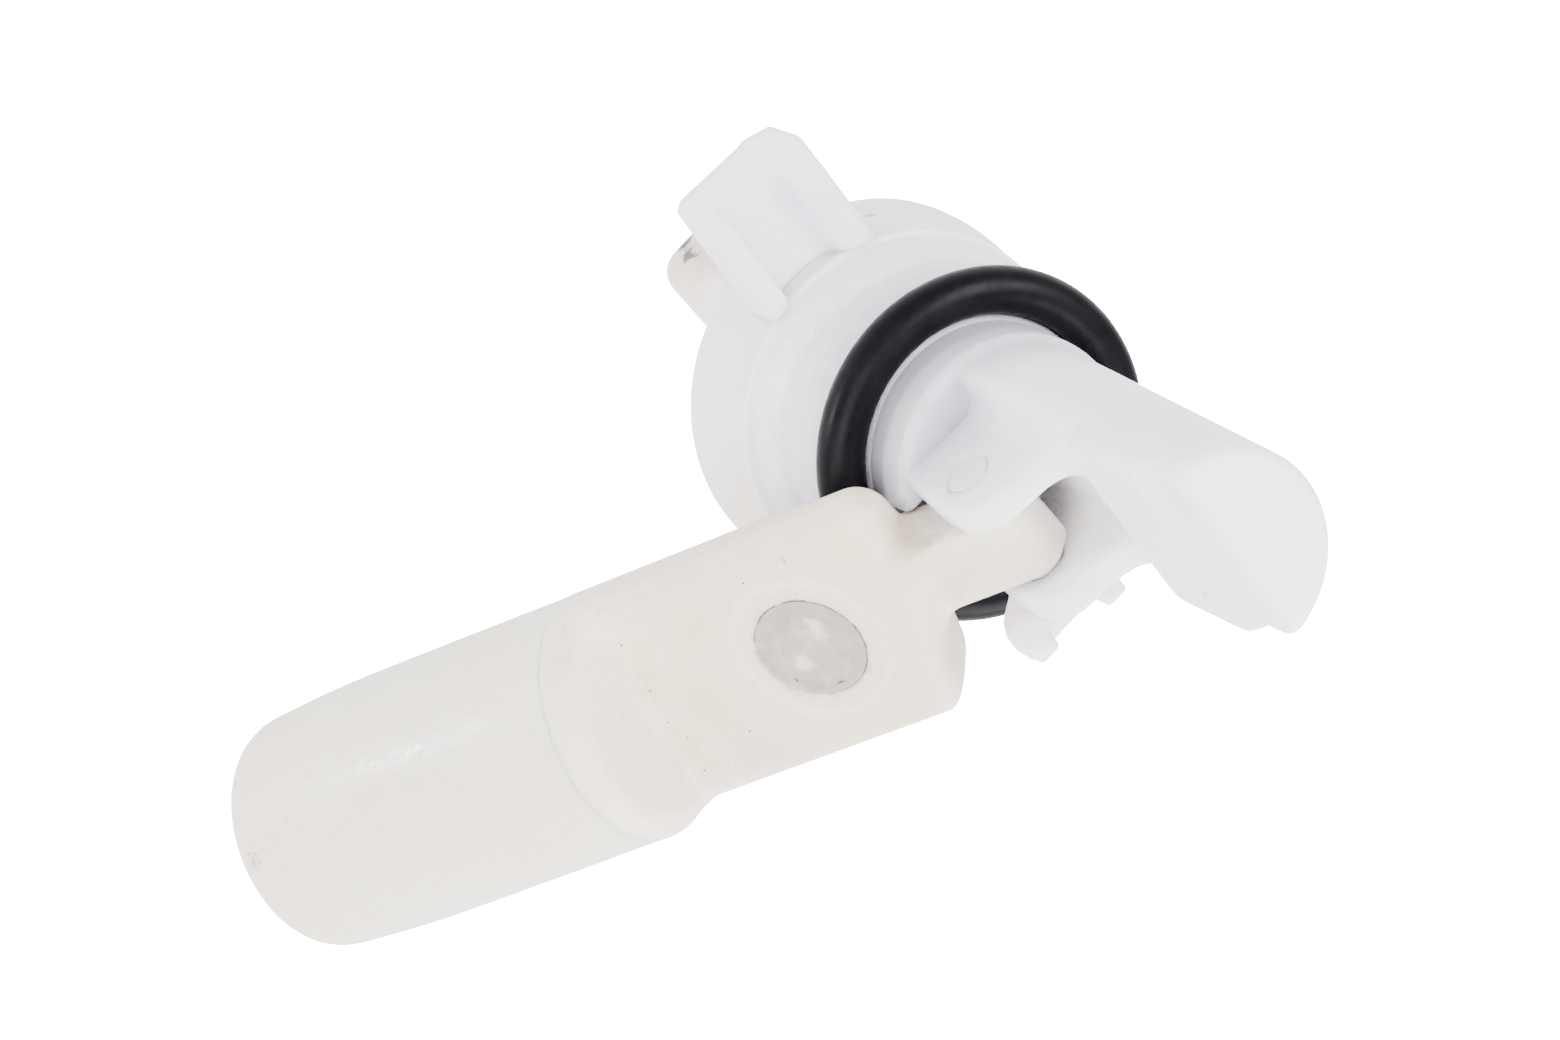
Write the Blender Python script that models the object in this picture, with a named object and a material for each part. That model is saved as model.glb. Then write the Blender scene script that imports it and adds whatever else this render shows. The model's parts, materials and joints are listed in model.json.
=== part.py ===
"""Float level sensor for a small fluid tank.

Metres, +Z up. The origin is the centre of the O-ring. +Z runs along the body towards the nose,
+Y is the side of the closed finger, and X is the axis of the float's hinge.
"""

import math

import bmesh
import bpy
from mathutils import Matrix, Vector

MM = 0.001
GAP = 0.3 * MM
TURNS = 48
FINE_TURNS = 24
TINY = 1e-6

# Seal and nose
RING_RADIUS = 11.7 * MM
RING_CORD_RADIUS = 1.82 * MM
NOSE_RADIUS = 9.5 * MM
NOSE_FRONT = 5.6 * MM
SEAT_RADIUS = 11.9 * MM
SEAT_FRONT = -RING_CORD_RADIUS - GAP
BAND_FRONT = -8.4 * MM
BAND_FRONT_RADIUS = 12.4 * MM
LIP_FRONT = -11.4 * MM
LIP_RADIUS = 13.9 * MM
LIP_REAR = -12.2 * MM
SLEEVE_RADIUS = 11.6 * MM
SLEEVE_REAR = -16.9 * MM

# Reed finger: a tapered half-round bar with a thicker pad under its front half
FINGER_ROOT_RADIUS = 9.05 * MM
FINGER_TIP_RADIUS = 8.2 * MM
FINGER_FRONT = 35.8 * MM
FINGER_ROUNDING = 1.2 * MM
NECK_FLOOR = 0.5 * MM
PAD_FLOOR = -0.9 * MM
PAD_REAR = 20.9 * MM
RAMP_START = 30.6 * MM
RAMP_END = 32.4 * MM
TIP_FLOOR = 0.4 * MM
BORE_RADIUS = 6.6 * MM
BORE_FLOOR = 1.9 * MM
BORE_FRONT = 33.8 * MM
REAR_ROOM_RADIUS = 10.0 * MM
REAR_ROOM_FRONT = -4.5 * MM

# Hinge
PIVOT = Vector((0.0, -4.7 * MM, 11.7 * MM))
EAR_OUTER = 6.1 * MM
EAR_INNER = 3.6 * MM
PIN_RADIUS = 1.4 * MM
PIN_BORE_RADIUS = PIN_RADIUS + GAP
CLIP_INNER = EAR_OUTER + GAP
CLIP_OUTER = CLIP_INNER + 1.2 * MM
CLIP_TOP = -1.2 * MM
LUG_SLOT_FLOOR = 2.4 * MM
LUG_SLOT_TOP = -5.3 * MM

# Thumb tab
TAB_END = -24.4 * MM
TAB_ROOT = -9.0 * MM
TAB_LOW = -4.3 * MM
TAB_HIGH = 6.1 * MM
TAB_REAR = -15.1 * MM
TAB_PLATE_FRONT = -13.5 * MM
TAB_LOW_RIB_WIDTH = 2.0 * MM
TAB_HIGH_RIB_WIDTH = 2.8 * MM
TAB_RIB_INSET = 0.05 * MM
TAB_TURN = math.radians(-3.5)
TAB_LOW_CORNER = 1.8 * MM
TAB_HIGH_CORNER = 3.0 * MM
TAB_RIB_FADE = 3.0 * MM

# Plug housing
DRUM_RADIUS = 14.8 * MM
DRUM_REAR = -19.6 * MM
DRUM_FLOOR_FRONT = -18.5 * MM
SHROUD_REAR = -30.0 * MM
SHROUD_HALF_LENGTH = 14.5 * MM
SHROUD_HALF_WIDTH = 4.2 * MM
SHROUD_CORNER = 2.4 * MM
SHROUD_WALL = 1.5 * MM
WINDOW_HALF_LENGTH = 6.0 * MM
WINDOW_HALF_WIDTH = 2.4 * MM

# Terminals
TERMINAL_SPACING = 5.6 * MM
TERMINAL_WIDTH = 2.8 * MM
TERMINAL_THICKNESS = 0.8 * MM
TERMINAL_REAR = -25.2 * MM
TERMINAL_FRONT = -13.4 * MM
CARRIER_REAR = -21.4 * MM
POTTING_REAR = SLEEVE_REAR + GAP
POTTING_FRONT = -14.0 * MM
CRIMP_FRONT = -10.1 * MM
CRIMP_RADIUS = 1.0 * MM
CRIMP_BORE_RADIUS = 0.6 * MM

# Reed switch
WIRE_RADIUS = 0.25 * MM
REED_X = -1.6 * MM
RETURN_X = 1.6 * MM
REED_HEIGHT = 4.6 * MM
GLASS_REAR = 16.2 * MM
GLASS_FRONT = 30.2 * MM
GLASS_RADIUS = 1.35 * MM
GLASS_BORE_RADIUS = 1.0 * MM
BLADE_OFFSET = 0.4 * MM
FRONT_CRIMP_REAR = 26.6 * MM
STRIP_HALF_WIDTH = 4.6 * MM
STRIP_LOW = BORE_FLOOR + GAP
STRIP_HIGH = STRIP_LOW + 0.7 * MM

# Float, measured from the pivot along the float (S) and across it towards the magnet face (N).
# The flat, the pocket, the magnet and its cover are measured from the cylinder's own axis and
# turned a little round it.
FLOAT_ANGLE = math.radians(137.0)
FLOAT_RADIUS = 9.85 * MM
FLOAT_AXIS_N = 4.3 * MM
FLOAT_END = 68.2 * MM
SHOULDER = 33.2 * MM
BLOCK_START = 10.5 * MM
BLOCK_FLAT = 0.6 * MM
FACE_TURN = math.radians(7.0)
BLOCK_ROUNDING = 2.2 * MM
RELIEF_N = -0.5 * MM
RELIEF_END = 15.6 * MM
RELIEF_SLOPE_END = 22.0 * MM
LUG_HALF_WIDTH = 3.0 * MM
LUG_HALF_THICKNESS = 2.8 * MM
LUG_TAIL = -2.5 * MM
LUG_TAIL_ROUNDING = 2.3 * MM
CUP_WALL = 1.4 * MM
CUP_FRONT_WALL = 1.6 * MM
CUP_RIM = 2.2 * MM
PLUG_HOLE_RADIUS = 3.4 * MM
PLUG_DROP = 3.6 * MM
PLUG_LENGTH = 4.0 * MM
MAGNET_S = 17.4 * MM
COVER_RADIUS = 4.25 * MM
POCKET_RADIUS = COVER_RADIUS + GAP
POCKET_FLOOR = -3.0 * MM
MAGNET_RADIUS = 3.9 * MM
MAGNET_THICKNESS = 2.3 * MM


def clear_objects():
    """Removes every object that the new file starts with."""
    for thing in list(bpy.data.objects):
        bpy.data.objects.remove(thing)


def material(name, colour, roughness, metallic=0.0):
    """A Principled material with one colour."""
    made = bpy.data.materials.new(name)
    made.use_nodes = True
    shader = made.node_tree.nodes["Principled BSDF"]
    shader.inputs["Base Color"].default_value = (*colour, 1.0)
    shader.inputs["Roughness"].default_value = roughness
    shader.inputs["Metallic"].default_value = metallic
    return made


def place(name, bm, finish=None, parent=None):
    """Turns a bmesh into a named object with outward faces and smooth round sides."""
    bmesh.ops.remove_doubles(bm, verts=bm.verts, dist=TINY)
    bmesh.ops.recalc_face_normals(bm, faces=bm.faces)
    mesh = bpy.data.meshes.new(name)
    bm.to_mesh(mesh)
    bm.free()
    mesh.shade_smooth()
    mesh.set_sharp_from_angle(angle=math.radians(30.0))
    made = bpy.data.objects.new(name, mesh)
    bpy.context.scene.collection.objects.link(made)
    made.parent = parent
    if finish:
        made.data.materials.append(finish)
    return made


def turned(outline, steps=TURNS, centre=(0.0, 0.0)):
    """A solid of revolution about +Z, from a closed outline of (radius, height) points."""
    bm = bmesh.new()
    verts = [bm.verts.new((radius, 0.0, height)) for radius, height in outline]
    edges = [bm.edges.new((a, b)) for a, b in zip(verts, verts[1:] + verts[:1])]
    bmesh.ops.spin(
        bm,
        geom=verts + edges,
        cent=(0.0, 0.0, 0.0),
        axis=(0.0, 0.0, 1.0),
        angle=math.tau,
        steps=steps,
        use_merge=True,
    )
    bmesh.ops.remove_doubles(bm, verts=bm.verts, dist=TINY)
    loose = [e for e in bm.edges if not e.link_faces]
    bmesh.ops.delete(bm, geom=loose, context="EDGES")
    bmesh.ops.translate(bm, verts=bm.verts, vec=(*centre, 0.0))
    return bm


def prism(outline, low, high, plane="YZ"):
    """A straight prism: a closed outline in one plane, carried from low to high across it."""
    order = {"YZ": (2, 0, 1), "XZ": (0, 2, 1), "XY": (0, 1, 2)}[plane]
    bm = bmesh.new()

    def corner(a, b, depth):
        values = (a, b, depth)
        return bm.verts.new([values[i] for i in order])

    bottom = [corner(a, b, low) for a, b in outline]
    top = [corner(a, b, high) for a, b in outline]
    bm.faces.new(bottom)
    bm.faces.new(top)
    for i in range(len(outline)):
        j = (i + 1) % len(outline)
        bm.faces.new((bottom[i], bottom[j], top[j], top[i]))
    return bm


def box(low, high):
    """A box between two corners."""
    outline = [(low[0], low[1]), (high[0], low[1]), (high[0], high[1]), (low[0], high[1])]
    return prism(outline, low[2], high[2], "XY")


def arc(centre, radius, start, end, steps):
    """Points on an arc, angles in degrees, both ends included."""
    angles = [math.radians(start + (end - start) * i / steps) for i in range(steps + 1)]
    return [(centre[0] + radius * math.cos(a), centre[1] + radius * math.sin(a)) for a in angles]


def rounded(half_length, half_width, corner, steps=5):
    """The outline of a rectangle with round corners, centred on the origin."""
    points = []
    signs = [(1.0, -1.0, -90.0), (1.0, 1.0, 0.0), (-1.0, 1.0, 90.0), (-1.0, -1.0, 180.0)]
    for side, end, start in signs:
        centre = (side * (half_length - corner), end * (half_width - corner))
        points += arc(centre, corner, start, start + 90.0, steps)
    return points


def combine(target, operation, tools):
    """Applies Boolean modifiers with hidden cutters to a target."""
    for tool in tools:
        tool.hide_render = True
        tool.display_type = "WIRE"
        step = target.modifiers.new(operation.lower(), "BOOLEAN")
        step.operation = operation
        step.solver = "EXACT"
        step.object = tool


def helper(name, bm, parent=None):
    """A cutter or a piece that is only there to be joined."""
    return place("tool_" + name, bm, None, parent)


def joined(name, bodies, cutters, finish, parent=None):
    """One solid: the first body with the others joined to it and the cutters taken away."""
    target = place(name, bodies[0], finish, parent)
    extra = [helper(f"{name}_add_{i}", bm, parent) for i, bm in enumerate(bodies[1:])]
    combine(target, "UNION", extra)
    away = [helper(f"{name}_cut_{i}", bm, parent) for i, bm in enumerate(cutters)]
    combine(target, "DIFFERENCE", away)
    return target


def rod_x(radius, low, high, y, z, steps=FINE_TURNS):
    """A round bar along X."""
    outline = arc((y, z), radius, 0.0, 360.0 * (steps - 1) / steps, steps - 1)
    return prism(outline, low, high, "YZ")


def rod_y(radius, low, high, x, z, steps=FINE_TURNS):
    """A round bar along Y."""
    outline = arc((x, z), radius, 0.0, 360.0 * (steps - 1) / steps, steps - 1)
    return prism(outline, low, high, "XZ")


def tube(radius, bore, low, high, centre=(0.0, 0.0), steps=16):
    """A straight tube along Z."""
    outline = [(bore, high), (radius, high), (radius, low), (bore, low)]
    return turned(outline, steps, centre)


def wire(name, points, radius, finish):
    """A round wire through points, with closed ends."""
    path = bpy.data.curves.new(name, "CURVE")
    path.dimensions = "3D"
    path.bevel_depth = radius
    path.bevel_resolution = 2
    path.use_fill_caps = True
    spline = path.splines.new("POLY")
    spline.points.add(len(points) - 1)
    for point, place_at in zip(spline.points, points):
        point.co = (*place_at, 1.0)
    made = bpy.data.objects.new(name, path)
    bpy.context.scene.collection.objects.link(made)
    path.materials.append(finish)
    return made


def body_core():
    """Sleeve, lip, tapered band, seat and nose, turned about the axis."""
    rim = 0.5 * MM
    nose_rim = 0.7 * MM
    outline = [
        (0.0, NOSE_FRONT),
        *arc((NOSE_RADIUS - nose_rim, NOSE_FRONT - nose_rim), nose_rim, 90.0, 0.0, 3),
        (NOSE_RADIUS, SEAT_FRONT),
        *arc((SEAT_RADIUS - rim, SEAT_FRONT - rim), rim, 90.0, 0.0, 3),
        (SEAT_RADIUS + 0.1 * MM, BAND_FRONT),
        (BAND_FRONT_RADIUS, BAND_FRONT),
        (LIP_RADIUS - 0.5 * MM, LIP_FRONT),
        (LIP_RADIUS, LIP_FRONT - 0.2 * MM),
        (LIP_RADIUS, LIP_REAR),
        (SLEEVE_RADIUS, LIP_REAR),
        (SLEEVE_RADIUS, SLEEVE_REAR),
        (0.0, SLEEVE_REAR),
    ]
    return turned(outline)


def finger_solid():
    """The finger: a tapered bar about the axis, trimmed below to a neck, a pad and a rising ramp."""
    corner = (FINGER_TIP_RADIUS - FINGER_ROUNDING, FINGER_FRONT - FINGER_ROUNDING)
    outline = [
        (0.0, FINGER_FRONT),
        *arc(corner, FINGER_ROUNDING, 90.0, 0.0, 4),
        (FINGER_ROOT_RADIUS, NOSE_FRONT - 3.0 * MM),
        (0.0, NOSE_FRONT - 3.0 * MM),
    ]
    bar = helper("finger_bar", turned(outline, 44))
    reach = 2.0 * FINGER_ROOT_RADIUS
    side = [
        (NECK_FLOOR, 0.0),
        (NECK_FLOOR, PAD_REAR),
        (PAD_FLOOR, PAD_REAR + 0.6 * MM),
        (PAD_FLOOR, RAMP_START),
        (TIP_FLOOR, RAMP_END),
        (TIP_FLOOR, FINGER_FRONT + MM),
        (reach, FINGER_FRONT + MM),
        (reach, 0.0),
    ]
    trim = helper("finger_trim", prism(side, -reach, reach))
    combine(bar, "INTERSECT", [trim])
    return bar


def ear_outline():
    """The side view of an ear, as (Y, Z) points: a foot on the nose and a round front corner."""
    front = arc((-4.4 * MM, 13.4 * MM), 3.6 * MM, 180.0, 90.0, 8)
    return [
        (2.0 * MM, 4.0 * MM),
        (-7.0 * MM, 4.0 * MM),
        (-7.1 * MM, NOSE_FRONT),
        (-7.9 * MM, 10.5 * MM),
        *front,
        (-2.0 * MM, 17.5 * MM),
        (-0.4 * MM, 18.2 * MM),
        (2.0 * MM, 19.6 * MM),
    ]


def tab_plate():
    """The plate of the thumb tab, with rounded outer corners."""
    low_centre = (TAB_END + TAB_LOW_CORNER, TAB_LOW + TAB_LOW_CORNER)
    high_centre = (TAB_END + TAB_HIGH_CORNER, TAB_HIGH - TAB_HIGH_CORNER)
    low = arc(low_centre, TAB_LOW_CORNER, 180.0, 270.0, 6)
    high = arc(high_centre, TAB_HIGH_CORNER, 90.0, 180.0, 6)
    outline = [*low, (TAB_ROOT, TAB_LOW), (TAB_ROOT, TAB_HIGH), *high]
    return prism(outline, TAB_REAR, TAB_PLATE_FRONT, "XY")


def tab_rib(low, width):
    """One side rib of the tab, fading into the plate near the outer end."""
    base = TAB_PLATE_FRONT - 0.5 * MM
    start = TAB_END + 1.0 * MM
    outline = [
        (TAB_ROOT, base),
        (start, base),
        (start, TAB_PLATE_FRONT),
        (start + TAB_RIB_FADE, LIP_FRONT),
        (TAB_ROOT, LIP_FRONT),
    ]
    return prism(outline, low, low + width, "XZ")


def tab_tools():
    """Plate and ribs of the tab, turned a little about the body's axis."""
    high_rib = TAB_HIGH - TAB_HIGH_RIB_WIDTH - TAB_RIB_INSET
    tools = [
        helper("tab_plate", tab_plate()),
        helper("tab_low_rib", tab_rib(TAB_LOW + TAB_RIB_INSET, TAB_LOW_RIB_WIDTH)),
        helper("tab_high_rib", tab_rib(high_rib, TAB_HIGH_RIB_WIDTH)),
    ]
    for tool in tools:
        tool.rotation_euler = (0.0, 0.0, TAB_TURN)
    return tools


def reed_bore():
    """The D-shaped bore that runs from the rear room into the finger."""
    start = math.degrees(math.asin(BORE_FLOOR / BORE_RADIUS))
    outline = arc((0.0, 0.0), BORE_RADIUS, start, 180.0 - start, 20)
    return prism(outline, REAR_ROOM_FRONT - MM, BORE_FRONT, "XY")


def sensor_body(finish):
    """The main moulding: seat, nose, finger, ears and tab, hollow from the rear."""
    body = place("sensor_body", body_core(), finish)
    ears = [
        helper("near_ear", prism(ear_outline(), -EAR_OUTER, -EAR_INNER)),
        helper("far_ear", prism(ear_outline(), EAR_INNER, EAR_OUTER)),
    ]
    combine(body, "UNION", [finger_solid(), *ears, *tab_tools()])
    room = [(0.0, REAR_ROOM_FRONT), (REAR_ROOM_RADIUS, REAR_ROOM_FRONT)]
    room += [(REAR_ROOM_RADIUS, SLEEVE_REAR - MM), (0.0, SLEEVE_REAR - MM)]
    slot_low = (-EAR_INNER, -2.0 * NOSE_RADIUS, LUG_SLOT_FLOOR)
    slot_high = (EAR_INNER, LUG_SLOT_TOP, NOSE_FRONT + MM)
    cutters = [
        helper("rear_room", turned(room)),
        helper("reed_bore", reed_bore()),
        helper("pin_bore", rod_x(PIN_BORE_RADIUS, -8.0 * MM, 8.0 * MM, PIVOT.y, PIVOT.z)),
        helper("lug_slot", box(slot_low, slot_high)),
    ]
    combine(body, "DIFFERENCE", cutters)
    return body


def plug_housing(finish):
    """The cream drum with its floor, and the plug shroud behind it."""
    inner = SLEEVE_RADIUS + GAP
    front = LIP_REAR - GAP
    round_off = 0.6 * MM
    outline = [
        (inner, front),
        (12.7 * MM, front),
        (12.6 * MM, front - 0.6 * MM),
        (13.2 * MM, front - 1.4 * MM),
        (14.0 * MM, front - 2.4 * MM),
        (14.5 * MM, front - 3.8 * MM),
        (DRUM_RADIUS, front - 5.6 * MM),
        *arc((DRUM_RADIUS - round_off, DRUM_REAR + round_off), round_off, 0.0, -90.0, 3),
        (0.0, DRUM_REAR),
        (0.0, DRUM_FLOOR_FRONT),
        (inner, DRUM_FLOOR_FRONT),
    ]
    outer = rounded(SHROUD_HALF_LENGTH, SHROUD_HALF_WIDTH, SHROUD_CORNER)
    hollow = rounded(
        SHROUD_HALF_LENGTH - SHROUD_WALL,
        SHROUD_HALF_WIDTH - SHROUD_WALL,
        SHROUD_CORNER - SHROUD_WALL,
    )
    shroud = prism(outer, SHROUD_REAR, DRUM_REAR + 0.5 * MM, "XY")
    window_low = (-WINDOW_HALF_LENGTH, -WINDOW_HALF_WIDTH, DRUM_REAR - MM)
    window_high = (WINDOW_HALF_LENGTH, WINDOW_HALF_WIDTH, DRUM_FLOOR_FRONT + MM)
    notch_low = (TAB_END, TAB_LOW - 2.0 * GAP, TAB_REAR - GAP)
    notch_high = (TAB_ROOT + 2.0 * MM, TAB_HIGH + 2.0 * GAP, LIP_REAR)
    notch = box(notch_low, notch_high)
    bmesh.ops.rotate(notch, verts=notch.verts, cent=(0.0, 0.0, 0.0), matrix=Matrix.Rotation(TAB_TURN, 3, "Z"))
    cutters = [
        prism(hollow, SHROUD_REAR - MM, DRUM_REAR, "XY"),
        box(window_low, window_high),
        notch,
    ]
    return joined("plug_housing", [turned(outline), shroud], cutters, finish)


def o_ring(finish):
    """The seal ring."""
    steps = 16
    outline = arc((RING_RADIUS, 0.0), RING_CORD_RADIUS, 0.0, -360.0 * (steps - 1) / steps, steps - 1)
    return place("o_ring", turned(outline), finish)


def hinge_pin(finish):
    """The plain pin through both ears, the lug and the clip."""
    return place(
        "hinge_pin",
        rod_x(PIN_RADIUS, -EAR_OUTER, CLIP_OUTER + 0.2 * MM, PIVOT.y, PIVOT.z),
        finish,
    )


def hinge_clip(finish):
    """The clip plate on the far end of the pin, with two nibs on its front edge."""
    edge = 14.0 * MM
    outline = [
        (CLIP_TOP, 6.2 * MM),
        (-9.4 * MM, 6.2 * MM),
        (-10.2 * MM, 9.8 * MM),
        (-10.4 * MM, 15.2 * MM),
        (-8.4 * MM, 15.2 * MM),
        (-8.4 * MM, edge),
        (-4.2 * MM, edge),
        (-4.2 * MM, 16.5 * MM),
        (-2.2 * MM, 16.5 * MM),
        (-2.2 * MM, edge),
        (CLIP_TOP, edge),
    ]
    bore = rod_x(PIN_BORE_RADIUS, CLIP_INNER - MM, CLIP_OUTER + MM, PIVOT.y, PIVOT.z)
    return joined("hinge_clip", [prism(outline, CLIP_INNER, CLIP_OUTER)], [bore], finish)


def frame(name, location, rotation, parent=None):
    """An empty that carries the pieces measured from it."""
    made = bpy.data.objects.new(name, None)
    made.location = location
    made.rotation_euler = rotation
    made.parent = parent
    bpy.context.scene.collection.objects.link(made)
    return made


def float_block():
    """The flat-topped block of the float: a round bar trimmed by its side view."""
    corner = (FLOAT_RADIUS - BLOCK_ROUNDING, BLOCK_START + BLOCK_ROUNDING)
    outline = [
        (0.0, SHOULDER),
        (FLOAT_RADIUS, SHOULDER),
        *arc(corner, BLOCK_ROUNDING, 0.0, -90.0, 4),
        (0.0, BLOCK_START),
    ]
    return turned(outline, TURNS, (0.0, FLOAT_AXIS_N))


def relief_side():
    """The side view of what is cut away below the block at its hinge end."""
    low = FLOAT_AXIS_N - FLOAT_RADIUS - MM
    return [
        (RELIEF_N, 0.0),
        (RELIEF_N, RELIEF_END),
        (low, RELIEF_SLOPE_END),
        (low, 0.0),
    ]


def lug_side():
    """The side view of the lug: a bar with a rounded tail behind the pin."""
    turn = LUG_TAIL_ROUNDING
    centre_s = LUG_TAIL + turn
    centre_n = LUG_HALF_THICKNESS - turn
    return [
        (LUG_HALF_THICKNESS, BLOCK_START + 2.0 * MM),
        *arc((centre_n, centre_s), turn, 0.0, -90.0, 5),
        *arc((-centre_n, centre_s), turn, -90.0, -180.0, 5),
        (-LUG_HALF_THICKNESS, BLOCK_START - 1.5 * MM),
        (RELIEF_N, BLOCK_START + 2.0 * MM),
    ]


def float_holder(finish, axle, face):
    """Block, lug and plug of the float holder, with the pin bore and the magnet pocket."""
    wide = 2.0 * FLOAT_RADIUS
    holder = place("float_holder", float_block(), finish, axle)
    above = helper("above_flat", box((-wide, BLOCK_FLAT, 0.0), (wide, wide, 2.0 * SHOULDER)), face)
    relief = helper("relief", prism(relief_side(), -wide, wide), axle)
    combine(holder, "DIFFERENCE", [above, relief])
    lug = helper("lug", prism(lug_side(), -LUG_HALF_WIDTH, LUG_HALF_WIDTH), axle)
    reach = PLUG_HOLE_RADIUS - GAP
    outline = [(0.0, SHOULDER + PLUG_LENGTH), (reach, SHOULDER + PLUG_LENGTH)]
    outline += [(reach, SHOULDER - MM), (0.0, SHOULDER - MM)]
    plug = helper("plug", turned(outline, FINE_TURNS, (0.0, FLOAT_AXIS_N - PLUG_DROP)), axle)
    combine(holder, "UNION", [lug, plug])
    bore = helper("lug_bore", rod_x(PIN_BORE_RADIUS, -5.0 * MM, 5.0 * MM, 0.0, 0.0), axle)
    pocket = rod_y(POCKET_RADIUS, POCKET_FLOOR, BLOCK_FLAT + MM, 0.0, MAGNET_S)
    combine(holder, "DIFFERENCE", [bore, helper("magnet_pocket", pocket, face)])


def float_cup(finish, axle):
    """The buoyant cup: a tapered shell with a rounded end and a plug hole in its front wall."""
    front = SHOULDER + GAP
    inner = FLOAT_RADIUS - CUP_WALL
    end_radius = 9.4 * MM
    rounding = 2.6 * MM
    corner = (end_radius - rounding, FLOAT_END - rounding)
    rim = (FLOAT_RADIUS - CUP_RIM, front + CUP_RIM)
    outline = [
        (0.0, FLOAT_END),
        *arc(corner, rounding, 90.0, 8.0, 6),
        (FLOAT_RADIUS, FLOAT_END - 9.0 * MM),
        *arc(rim, CUP_RIM, 0.0, -90.0, 5),
        (0.0, front),
    ]
    room = [
        (0.0, FLOAT_END - 1.8 * MM),
        (end_radius - CUP_WALL - MM, FLOAT_END - 2.2 * MM),
        (inner, FLOAT_END - 9.0 * MM),
        (inner, front + CUP_RIM),
        (inner - MM, front + CUP_FRONT_WALL),
        (0.0, front + CUP_FRONT_WALL),
    ]
    centre = (0.0, FLOAT_AXIS_N)
    hole = [(0.0, front + 5.0 * MM), (PLUG_HOLE_RADIUS, front + 5.0 * MM)]
    hole += [(PLUG_HOLE_RADIUS, front - MM), (0.0, front - MM)]
    cup = place("float_cup", turned(outline, TURNS, centre), finish, axle)
    cutters = [
        helper("cup_room", turned(room, TURNS, centre), axle),
        helper("plug_hole", turned(hole, FINE_TURNS, (0.0, FLOAT_AXIS_N - PLUG_DROP)), axle),
    ]
    combine(cup, "DIFFERENCE", cutters)


def magnet_parts(magnet_finish, cover_finish, face):
    """The round magnet in its pocket, and the disc that covers it."""
    low = POCKET_FLOOR + GAP
    high = low + MAGNET_THICKNESS
    place("magnet", rod_y(MAGNET_RADIUS, low, high, 0.0, MAGNET_S), magnet_finish, face)
    cover = rod_y(COVER_RADIUS, high + GAP, BLOCK_FLAT, 0.0, MAGNET_S, 32)
    place("magnet_cover", cover, cover_finish, face)


def terminal_carrier(finish):
    """The stepped block that holds the terminals in the housing's window."""
    flange_front = SLEEVE_REAR - GAP
    flange_low = (-WINDOW_HALF_LENGTH - 2.0 * MM, -WINDOW_HALF_WIDTH - 1.5 * MM, DRUM_FLOOR_FRONT + GAP)
    flange_high = (WINDOW_HALF_LENGTH + 2.0 * MM, WINDOW_HALF_WIDTH + 1.5 * MM, flange_front)
    stem_low = (-WINDOW_HALF_LENGTH + GAP, -WINDOW_HALF_WIDTH + GAP, CARRIER_REAR)
    stem_high = (WINDOW_HALF_LENGTH - GAP, WINDOW_HALF_WIDTH - GAP, flange_front - 0.5 * MM)
    slots = [terminal_slot(side, CARRIER_REAR - MM, flange_front + MM) for side in (-1.0, 1.0)]
    return joined("terminal_carrier", [box(flange_low, flange_high), box(stem_low, stem_high)], slots, finish)


def terminal_slot(side, low, high):
    """The clearance round one terminal blade."""
    x = side * TERMINAL_SPACING / 2.0
    half_width = TERMINAL_WIDTH / 2.0 + GAP
    half_depth = TERMINAL_THICKNESS / 2.0 + GAP
    return box((x - half_width, -half_depth, low), (x + half_width, half_depth, high))


def terminal_pin(name, side, finish):
    """A flat blade with a tapered tip at the socket end."""
    x = side * TERMINAL_SPACING / 2.0
    half = TERMINAL_WIDTH / 2.0
    outline = [
        (x - half, TERMINAL_FRONT),
        (x - half, TERMINAL_REAR + MM),
        (x - half + 0.6 * MM, TERMINAL_REAR),
        (x + half - 0.6 * MM, TERMINAL_REAR),
        (x + half, TERMINAL_REAR + MM),
        (x + half, TERMINAL_FRONT),
    ]
    half_depth = TERMINAL_THICKNESS / 2.0
    return place(name, prism(outline, -half_depth, half_depth, "XZ"), finish)


def potting_plug(finish):
    """The cast plug that seals the rear room round the terminals."""
    reach = REAR_ROOM_RADIUS - GAP
    outline = [(0.0, POTTING_FRONT), (reach, POTTING_FRONT), (reach, POTTING_REAR), (0.0, POTTING_REAR)]
    slots = [terminal_slot(side, POTTING_REAR - MM, POTTING_FRONT + MM) for side in (-1.0, 1.0)]
    return joined("potting_plug", [turned(outline, 32)], slots, finish)


def crimps(finish):
    """The ferrules that join the wires to the terminals and to each other."""
    low = TERMINAL_FRONT + GAP
    for name, side in (("crimp_left", -1.0), ("crimp_right", 1.0)):
        centre = (side * TERMINAL_SPACING / 2.0, 0.0)
        place(name, tube(CRIMP_RADIUS, CRIMP_BORE_RADIUS, low, CRIMP_FRONT, centre), finish)
    centre = (RETURN_X, REED_HEIGHT)
    front = tube(CRIMP_RADIUS, CRIMP_BORE_RADIUS, FRONT_CRIMP_REAR, FRONT_CRIMP_REAR + 3.0 * MM, centre)
    place("crimp_front", front, finish)


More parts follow.
